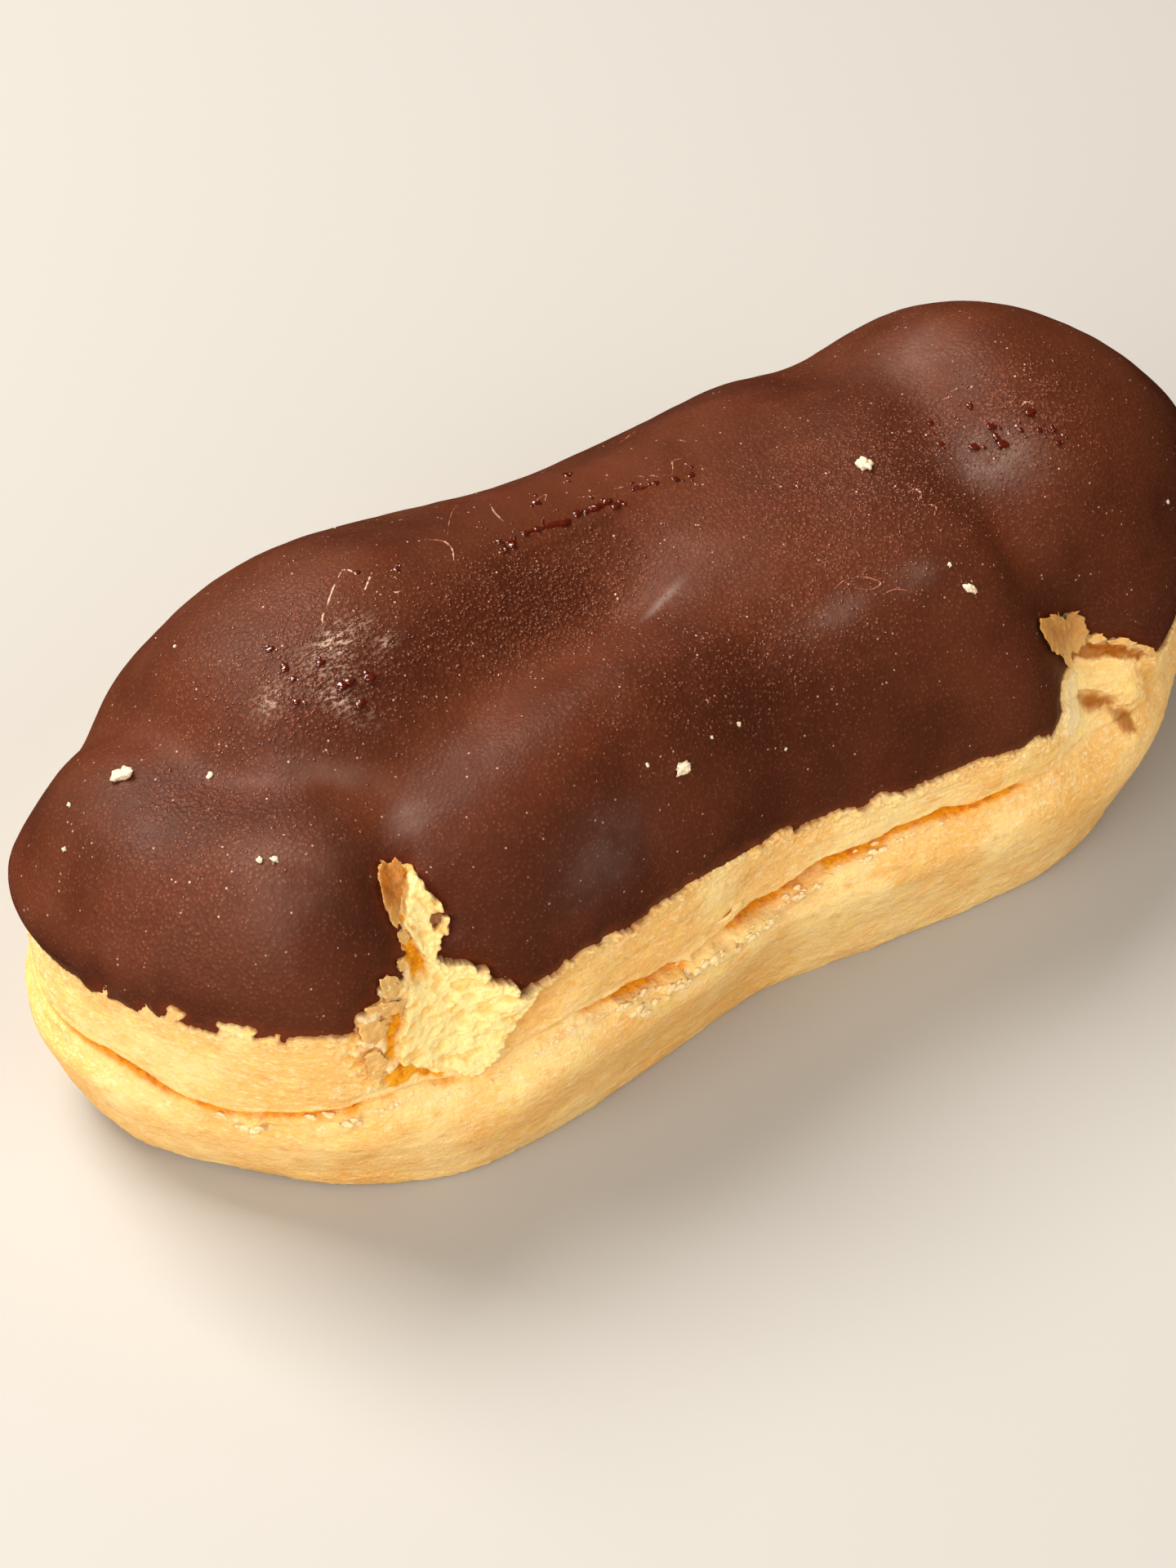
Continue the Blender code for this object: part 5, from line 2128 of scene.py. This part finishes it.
RIGHT_FLAPS = (
    Flap("flap", (
        (1272, 761), (1281, 753), (1294, 751), (1302, 758), (1308, 749), (1322, 749), (1330, 761),
        (1332, 776), (1331, 790), (1318, 800), (1304, 803), (1290, 796), (1279, 779),
    ), 0.50, (0.03, 0.05), 0.05, 0.72, 0.3),
    Flap("tail", (
        (1297, 792), (1307, 796), (1312, 808), (1311, 817), (1304, 812),
    ), 0.40, (0.0, 0.0), 0.04, 0.35),
    Flap("left of the rim", (
        (1331, 784), (1338, 778), (1347, 776), (1354, 782), (1345, 786), (1335, 789),
    ), 0.40, (0, 0.1), 0.04, 0.25),
    Flap("middle of the rim", (
        (1352, 784), (1362, 783), (1376, 780), (1392, 787), (1388, 793), (1374, 789), (1360, 789),
    ), 0.40, (0, 0.1), 0.04, 0.25),
    Flap("right of the rim", (
        (1390, 789), (1402, 790), (1412, 794), (1421, 804), (1412, 806), (1400, 799),
    ), 0.40, (0, 0.1), 0.04, 0.25),
    Flap("smear in the crease", (
        (880, 1132), (889, 1122), (903, 1108), (913, 1103), (908, 1114), (895, 1126),
    ), 0.02, (0, 0), -0.06, 0.0),
)
SUGAR = (
    Spot("largest", (-7.6, -11.1), (0.42, 0.30)),
    Spot("by the right crown", (10.6, -3.1), (0.40, 0.34)),
    Spot("by the right notch", (11.3, -10.5), (0.30, 0.20)),
    Spot("clear one on the left", (-29.3, 1.6), (0.50, 0.34)),
    Spot("left ledge", (-26.8, -1.1), (0.16, 0.12)),
    Spot("left crown, first", (-26.9, -6.2), (0.15, 0.12)),
    Spot("left crown, second", (-26.4, -6.6), (0.19, 0.12)),
    Spot("left end, first", (-31.2, 2.5), (0.12, 0.10)),
    Spot("left end, second", (-32.3, 1.1), (0.12, 0.10)),
    Spot("front ridge, first", (-3.6, -10.3), (0.12, 0.09)),
    Spot("front ridge, second", (-5.4, -10.5), (0.09, 0.08)),
    Spot("front ridge, third", (-9.5, -10.8), (0.11, 0.08)),
    Spot("right end", (26.0, -8.6), (0.14, 0.11)),
    Spot("middle", (-0.9, -11.2), (0.09, 0.07)),
    Spot("before the right notch", (10.8, -9.4), (0.13, 0.09)),
    Spot("back", (-23.9, 5.0), (0.09, 0.07)),
)


def on_coat(form: BunForm, x: Array, y: Array, lift: Array) -> tuple[Array, Array]:
    """Points above the coat over x and y, with their normals."""
    angle, swing = form.above(x, y)
    return form.on_skin(angle, swing, CoatRelief().level(form.plain(angle, swing)) + lift)


@dataclass
class LooseBits:
    """Crumbs on the coat and along the crease, and beads of damp on the coat."""

    form: BunForm
    fine_count: int = 30
    bead_count: int = 5200
    bead_reach: tuple[float, float] = (33.0, 12.5)
    lip_count: int = 200
    lip_from: float = -31.0
    lip_to: float = 12.0
    top_height: float = 22.0
    pixels_a_millimetre: float = 23.6

    def sugar(self, placing: Placing) -> Piece:
        """The pale crumbs: the named ones, then fine ones scattered over the top.

        Args:
            placing: turns millimetres into the part's metres.

        Returns:
            The object.
        """
        draw = np.random.default_rng(51)
        turn = draw.uniform(0, FULL_TURN, self.fine_count)
        reach = np.sqrt(draw.uniform(0, 0.75, self.fine_count))
        x = np.append([spot.at[0] for spot in SUGAR], reach * np.cos(turn) * self.form.half_length)
        y = np.append([spot.at[1] for spot in SUGAR], reach * np.sin(turn) * self.form.half_width)
        fine = draw.uniform(0.020, 0.045, self.fine_count)
        wide = np.append([spot.radii[0] for spot in SUGAR], fine)
        narrow = np.append([spot.radii[1] for spot in SUGAR], fine * 0.7)
        short = narrow * 0.75
        radii = np.stack([wide, narrow, short], axis=-1)
        seat = on_coat(self.form, x, y, short * 0.6)
        return Blobs(rings=9, sides=14, rough=0.75, seed=53).build("sugar_crumbs", seat, radii, placing)

    def beads(self, placing: Placing) -> Piece:
        """Fine beads of damp, scattered about the damp places with a normal spread.

        Args:
            placing: turns millimetres into the part's metres.

        Returns:
            The object.
        """
        draw = np.random.default_rng(57)
        weights = np.array([spot.strength * spot.radii[0] * spot.radii[1] for spot in DAMP])
        chosen = draw.choice(len(DAMP), self.bead_count, p=weights / weights.sum())
        middles = np.array([spot.at for spot in DAMP])[chosen]
        spreads = np.array([spot.radii for spot in DAMP])[chosen]
        places = middles + draw.normal(0, 0.75, (self.bead_count, 2)) * spreads
        smooth = overlaid(SMOOTH, np.append(places, np.full((len(places), 1), self.top_height), axis=1))
        open_top = np.hypot(places[:, 0] / self.bead_reach[0], places[:, 1] / self.bead_reach[1]) < 1.0
        places = places[(draw.random(len(places)) > smooth) & open_top]
        size = draw.uniform(0.035, 0.075, len(places)) * draw.choice([1.0, 1.5], len(places), p=[0.93, 0.07])
        seat = on_coat(self.form, places[:, 0], places[:, 1], np.zeros(len(size)))
        radii = np.stack([size * draw.uniform(1.0, 1.7, len(size)), size, size * 0.5], axis=-1)
        return Blobs(rings=2, sides=6, rough=0.0, seed=59).build("damp_beads", seat, radii, placing)

    def drops(self, sight: Sight, placing: Placing) -> Piece:
        """Dark glossy drops at the named pixels, each with two smaller ones beside it.

        Args:
            sight: finds the photograph's pixels on the bun.
            placing: turns millimetres into the part's metres.

        Returns:
            The object.
        """
        draw = np.random.default_rng(67)
        named = np.concatenate([DROPS, DROPS, DROPS]).astype(float)
        shift = draw.normal(0, 5.0, (len(named), 2)) * (np.arange(len(named)) >= len(DROPS))[:, None]
        places = sight.top_places(named[:, :2] + shift)
        first = np.arange(len(named)) < len(DROPS)
        size = named[:, 2] / self.pixels_a_millimetre * np.where(first, 1.0, 0.5)
        seat = on_coat(self.form, places[:, 0], places[:, 1], np.zeros(len(size)))
        radii = np.stack([size * draw.uniform(1.0, 1.6, len(size)), size, size * 0.45], axis=-1)
        return Blobs(rings=6, sides=11, rough=0.35, seed=69).build("damp_drops", seat, radii, placing)

    def lip_crumbs(self, sight: Sight, relief: ChouxRelief, placing: Placing) -> Piece:
        """Grains on the crease's lower lip: clusters at the named pixels, and finer ones along it.

        Args:
            sight: finds the photograph's pixels on the bun.
            relief: the pastry's relief.
            placing: turns millimetres into the part's metres.

        Returns:
            The object.
        """
        draw = np.random.default_rng(61)
        middles = sight.front_places(LIP_CLUSTERS, -0.3)
        chosen = draw.integers(0, len(middles), self.lip_count // 2)
        clustered = middles[chosen] + draw.normal(0, 1.0, (len(chosen), 2)) * (0.42, 0.12)
        x = draw.uniform(self.lip_from, self.lip_to, self.lip_count // 2)
        z = relief.crease.height(x, np.full(len(x), -12.0)) - 0.50 - np.abs(draw.normal(0, 0.14, len(x)))
        x, z = np.append(clustered[:, 0], x), np.append(clustered[:, 1], z)
        size = np.append(draw.uniform(0.09, 0.24, len(chosen)), draw.uniform(0.05, 0.12, len(chosen)))
        angle, swing = self.form.front(x, z)
        level = relief.skin(self.form.plain(angle, swing), np.full(len(x), 3.0)).offset
        seat = self.form.on_skin(angle, swing, level - size * 0.1)
        radii = np.stack([size * 1.5, size, size * 0.6], axis=-1)
        paint = {"pale": 0.6, "crumb": 0.3}
        return Blobs(rings=4, sides=7, rough=0.6, seed=63).build("lip_crumbs", seat, radii, placing, paint)


# Dark drops and clusters of grains, as pixels across and down, and a drop's radius in pixels
DROPS = (
    (349, 818, 5), (359, 832, 4), (363, 860, 4), (418, 839, 6), (428, 835, 5), (452, 828, 6), (441, 862, 5),
    (392, 811, 4), (332, 795, 4), (627, 668, 5), (611, 665, 4), (619, 674, 4), (1214, 523, 6),
    (1220, 535, 5), (1228, 544, 7), (1194, 547, 6), (1250, 527, 4), (1272, 527, 4), (1289, 526, 4),
    (1296, 543, 4), (1262, 505, 7), (1140, 519, 4), (1152, 544, 4), (1188, 497, 5), (656, 618, 4),
    (694, 585, 5), (437, 702, 3), (485, 698, 4), (643, 656, 4), (656, 650, 4), (706, 631, 5), (717, 628, 4),
    (729, 623, 5), (742, 617, 5), (754, 622, 5), (778, 601, 4), (802, 594, 4), (826, 588, 4), (846, 582, 4),
)
LIP_CLUSTERS = (
    (760, 1232), (775, 1234), (790, 1232), (806, 1208), (815, 1204), (826, 1200), (843, 1183), (855, 1175),
    (868, 1170), (880, 1166), (892, 1160), (902, 1143), (912, 1138), (922, 1131), (935, 1124), (975, 1090),
    (1060, 1050), (1075, 1045), (210, 1350), (300, 1374), (310, 1378), (396, 1374), (420, 1372),
)


@dataclass(frozen=True)
class Trail:
    """A curl, streak or scratch on the coat, through pixels of the photograph, with its half thickness."""

    name: str
    pixels: tuple[tuple[int, int], ...]
    thick: float


CURLS = (
    Trail("long curl on the left", ((525, 662), (544, 665), (554, 675), (556, 690)), 0.06),
    Trail("its upper part", ((562, 618), (552, 634), (548, 656)), 0.035),
    Trail("curl above the first drops", ((600, 619), (606, 630), (617, 641)), 0.06),
    Trail("hook behind the line", ((655, 622), (660, 613), (669, 609), (667, 617)), 0.05),
    Trail("end of the line", ((810, 584), (822, 583), (824, 574), (824, 566), (836, 562)), 0.06),
    Trail("dash above it", ((830, 540), (840, 542)), 0.06),
    Trail("back curl", ((760, 542), (770, 536), (779, 530)), 0.05),
    Trail("dash of the line, left", ((752, 602), (764, 600)), 0.06),
    Trail("dash of the line, middle", ((780, 586), (790, 587)), 0.06),
    Trail("dash of the line, right", ((796, 585), (806, 586)), 0.06),
    Trail("thin loop", ((706, 612), (718, 611), (732, 610)), 0.03),
    Trail("loop on the front ridge", (
        (1020, 722), (1036, 710), (1058, 707), (1078, 714), (1066, 722), (1046, 720),
    ), 0.05),
    Trail("tail of the loop", ((1080, 728), (1096, 722), (1112, 724)), 0.04),
    Trail("hook on the right crown", ((1251, 497), (1256, 493), (1263, 495), (1265, 503)), 0.09),
    Trail("dash on the saddle", ((1153, 491), (1166, 486)), 0.07),
    Trail("second dash there", ((1164, 481), (1174, 476)), 0.06),
    Trail("hook before the right crown", ((1112, 604), (1120, 600), (1128, 606), (1124, 614)), 0.07),
    Trail("hook at the pit's right", ((1136, 618), (1146, 622), (1144, 632)), 0.06),
)
STREAKS = (
    Trail("the line itself", (
        (605, 690), (618, 677), (629, 665), (641, 657), (653, 651), (665, 649), (678, 644), (691, 643),
        (704, 633), (717, 629), (730, 624), (742, 618), (754, 620), (765, 613), (777, 603), (789, 600),
        (802, 595), (816, 591),
    ), 0.20),
    Trail("first", ((629, 658), (630, 664), (627, 671)), 0.13),
    Trail("second", ((650, 648), (660, 651), (670, 649)), 0.16),
    Trail("spike", ((666, 635), (664, 642), (668, 650)), 0.08),
    Trail("third", ((678, 636), (682, 645), (688, 650)), 0.12),
    Trail("fourth", ((706, 628), (714, 632), (722, 625), (734, 621)), 0.20),
    Trail("fifth", ((736, 619), (744, 615), (750, 621), (760, 624)), 0.20),
    Trail("sixth", ((772, 597), (780, 602), (788, 600)), 0.16),
    Trail("below the crown's hook", ((1262, 503), (1266, 510), (1269, 514)), 0.14),
)
SCRATCHES = (
    Trail("long scratch", ((419, 700), (409, 720), (400, 745), (395, 757), (396, 771)), 0.055),
    Trail("its head", ((418, 700), (428, 700), (438, 706)), 0.05),
    Trail("short scratch", ((457, 698), (451, 713), (444, 731)), 0.05),
    Trail("dots", ((478, 700), (486, 696), (489, 704)), 0.07),
    Trail("hook", ((480, 725), (486, 726), (493, 723)), 0.035),
)


@dataclass
class Trails:
    """Curls, streaks or scratches in one mesh: thin tubes on the coat whose ends taper."""

    form: BunForm
    sight: Sight
    name: str
    trails: tuple[Trail, ...]
    sink: float
    steps: int = 60
    sides: int = 8
    seed: int = 71

    def path(self, trail: Trail) -> Array:
        """x and y along a trail: a Catmull-Rom curve through its places.

        Args:
            trail: its pixels.

        Returns:
            x and y of each step.
        """
        places = self.sight.top_places(trail.pixels)
        every = np.concatenate([2 * places[:1] - places[1:2], places, 2 * places[-1:] - places[-2:-1]])
        travel = np.linspace(0.0, len(places) - 1 - 1e-9, self.steps)
        part = travel.astype(int)
        share = (travel - part)[:, None]
        before, first, second, after = (every[part + step] for step in range(4))
        curve = 2 * first + (second - before) * share
        curve = curve + (2 * before - 5 * first + 4 * second - after) * share**2
        return (curve + (3 * first - before - 3 * second + after) * share**3) / 2

    def build(self, placing: Placing) -> Piece:
        """Builds the mesh: a tube along each path, its radius noisy and falling to nothing at the ends.

        Args:
            placing: turns millimetres into the part's metres.

        Returns:
            The object.
        """
        noise = GradientNoise(self.seed)
        share = np.linspace(0.0, 1.0, self.steps)
        turn = FULL_TURN * np.arange(self.sides) / self.sides
        points = []
        for index, trail in enumerate(self.trails):
            key = np.stack([share * 6, np.full(self.steps, 3.0 * index), np.zeros(self.steps)], axis=-1)
            place = self.path(trail)
            middle, normal = on_coat(self.form, place[:, 0], place[:, 1], -self.sink * trail.thick)
            side = np.cross(normal, np.gradient(middle, axis=0))
            side = side / np.linalg.norm(side, axis=1, keepdims=True)
            broken = 0.2 + 0.8 * smooth_step(noise.at(key + 9.0, 0.8), -0.30, 0.05)
            radius = trail.thick * broken * (1.0 + 0.7 * noise.at(key + 4.0, 0.45))
            radius = radius * np.sqrt(np.sin(np.pi * share) + 0.02)
            ring = side[:, None] * np.cos(turn)[None, :, None] + normal[:, None] * np.sin(turn)[None, :, None]
            tube = middle[:, None] + ring * radius[:, None, None]
            points += [middle[:1], tube.reshape(-1, 3), middle[-1:]]
        size = self.steps * self.sides + 2
        faces = repeated(closed_faces(self.steps, self.sides, flip=True), len(self.trails), size)
        return make_mesh(self.name, placing.metres(np.concatenate(points)), faces)


@dataclass(frozen=True)
class PhotoView:
    """The photograph's viewpoint, as degrees and millimetres about the bun's middle."""

    elevation: float = 42.0
    azimuth: float = 40.5
    roll: float = 4.3
    distance: float = 185.5
    focal: float = 82.0
    target_height: float = 9.514
    aim_right: float = -2.82
    aim_up: float = -3.08

    def axes(self, placing: Placing) -> tuple[Array, Array, Array, Array]:
        """The eye in millimetres of the part's frame, and the camera's right, up and backward directions.

        Args:
            placing: turns millimetres into the part's metres.

        Returns:
            Eye, right, up and backward direction.
        """
        rise, turn, roll = np.radians([self.elevation, self.azimuth, self.roll])
        right = np.array([np.cos(turn), -np.sin(turn), 0.0])
        ahead = np.array([np.sin(turn), np.cos(turn), 0.0])
        look = ahead * np.cos(rise) - np.array([0.0, 0.0, np.sin(rise)])
        up = ahead * np.sin(rise) + np.array([0.0, 0.0, np.cos(rise)])
        rolled_right = right * np.cos(roll) + up * np.sin(roll)
        rolled_up = up * np.cos(roll) - right * np.sin(roll)
        target = np.array([placing.shift[0], placing.shift[1], self.target_height])
        eye = target - look * self.distance
        aim = target + rolled_right * self.aim_right + rolled_up * self.aim_up
        back = (eye - aim) / np.linalg.norm(eye - aim)
        side = np.cross(rolled_up, back)
        side = side / np.linalg.norm(side)
        return eye, side, np.cross(back, side), back

    def build(self, placing: Placing) -> None:
        """Makes the camera.

        Args:
            placing: turns millimetres into the part's metres.
        """
        eye, side, up, back = self.axes(placing)
        camera = bpy.data.cameras.new("photo_view")
        camera.sensor_width = SENSOR
        camera.lens = self.focal
        camera.clip_start = 0.01
        standing = bpy.data.objects.new("photo_view", camera)
        turned = np.column_stack([side, up, back])
        standing.matrix_world = Matrix.Translation(Vector(eye * MM)) @ Matrix(turned.tolist()).to_4x4()
        bpy.context.scene.collection.objects.link(standing)
        bpy.context.scene.camera = standing


@dataclass(frozen=True)
class SoftLight:
    """A square soft light, as metres, watts and a colour."""

    name: str
    at: tuple[float, float, float]
    side: float
    watts: float
    tint: tuple[float, float, float]
    glints: bool = True
    aim: tuple[float, float, float] = (0.0, 0.0, 0.012)

    def build(self) -> None:
        """Makes the light, aimed at the bun."""
        light = bpy.data.lights.new(self.name, "AREA")
        light.size = self.side
        light.energy = self.watts
        light.color = self.tint
        lamp = bpy.data.objects.new(self.name, light)
        lamp.location = self.at
        toward = Vector(self.aim) - Vector(self.at)
        lamp.rotation_euler = toward.to_track_quat("-Z", "Y").to_euler()
        lamp.visible_glossy = self.glints
        bpy.context.scene.collection.objects.link(lamp)


@dataclass(frozen=True)
class Studio:
    """A pale floor, a soft sky and soft lights."""

    floor_half: float = 1.5
    floor_tint: tuple = colour(174, 170, 164)
    sky_tint: tuple = (1.0, 0.97, 0.93, 1.0)
    sky_strength: float = 0.22
    lights: tuple[SoftLight, ...] = (
        SoftLight("window", (-0.12, 0.28, 0.42), 0.28, 4.3, (1.0, 0.96, 0.90)),
        SoftLight("left_fill", (-0.45, -0.14, 0.26), 0.36, 2.6, (1.0, 0.97, 0.92)),
        SoftLight("front_fill", (0.10, -0.50, 0.30), 0.45, 1.9, (1.0, 0.97, 0.92), False),
    )

    def build(self) -> None:
        """Builds floor, sky and lights."""
        half = self.floor_half
        corners = np.array([(-half, -half, 0.0), (half, -half, 0.0), (half, half, 0.0), (-half, half, 0.0)])
        floor = make_mesh("floor", corners, [np.array([[0, 1, 2, 3]])])
        shading = Shading("pale_floor")
        shading.shader.inputs["Base Color"].default_value = self.floor_tint
        shading.shader.inputs["Roughness"].default_value = 0.7
        floor.data.materials.append(shading.material)
        floor.visible_glossy = False
        floor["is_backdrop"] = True
        world = bpy.data.worlds.new("studio")
        world.use_nodes = True
        world.node_tree.nodes["Background"].inputs["Color"].default_value = self.sky_tint
        world.node_tree.nodes["Background"].inputs["Strength"].default_value = self.sky_strength
        world.cycles_visibility.glossy = False
        bpy.context.scene.world = world
        bpy.context.scene.view_settings.view_transform = "Standard"
        for light in self.lights:
            light.build()


def main() -> None:
    """Builds the eclair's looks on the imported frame."""
    logging.basicConfig(level=logging.INFO, format="%(message)s")
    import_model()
    form = BunForm()
    placing = Placing.on_frame(form)
    LOG.info("scale %.4f shift %s", placing.scale, placing.shift)
    view = PhotoView()
    sight = Sight(form, placing, view)
    edge = TornEdge(form, sight)
    crease = CreaseLine(form, sight)
    relief = ChouxRelief(form, sight, crease)
    choux = BakedChoux().build()
    flaked = BakedChoux("thin_flakes", glow=0.0).build()
    chocolate = SetChocolate().build()
    view.build(placing)
    Studio().build()
    dress(ChouxBody(form, edge, relief).build(placing), choux, Slot.CHOUX, SHELL_NODE)
    dress(TornRim(form, edge, relief).build(placing), choux, Slot.CHOUX)
    for window in (LEFT_WINDOW, RIGHT_WINDOW):
        dress(TornPatch(form, edge, relief, window).build(placing), choux, Slot.CHOUX)
    dress(ChocolateCoat(form, edge, CoatRelief()).build(placing), chocolate, Slot.CHOCOLATE, COAT_NODE)
    dress(Flaps(form, sight, "left_flaps", LEFT_FLAPS).build(placing), flaked, Slot.CHOUX)
    dress(Flaps(form, sight, "right_flaps", RIGHT_FLAPS, seed=43).build(placing), flaked, Slot.CHOUX)
    bits = LooseBits(form)
    dress(bits.sugar(placing), SUGAR_FINISH.build(), Slot.CHOUX)
    dress(bits.beads(placing), BEAD_FINISH.build(), Slot.CHOCOLATE)
    dark = DROP_FINISH.build()
    dress(bits.drops(sight, placing), dark, Slot.CHOCOLATE)
    dress(bits.lip_crumbs(sight, relief, placing), flaked, Slot.CHOUX)
    curls = Trails(form, sight, "glaze_curls", CURLS, sink=0.0)
    dress(curls.build(placing), CURL_FINISH.build(), Slot.CHOCOLATE)
    streaks = Trails(form, sight, "damp_streaks", STREAKS, sink=0.6, seed=75)
    dress(streaks.build(placing), dark, Slot.CHOCOLATE)
    scratches = Trails(form, sight, "scratches", SCRATCHES, sink=0.35, seed=73)
    dress(scratches.build(placing), SCRATCH_FINISH.build(), Slot.CHOCOLATE)


if __name__ == "__main__":
    main()
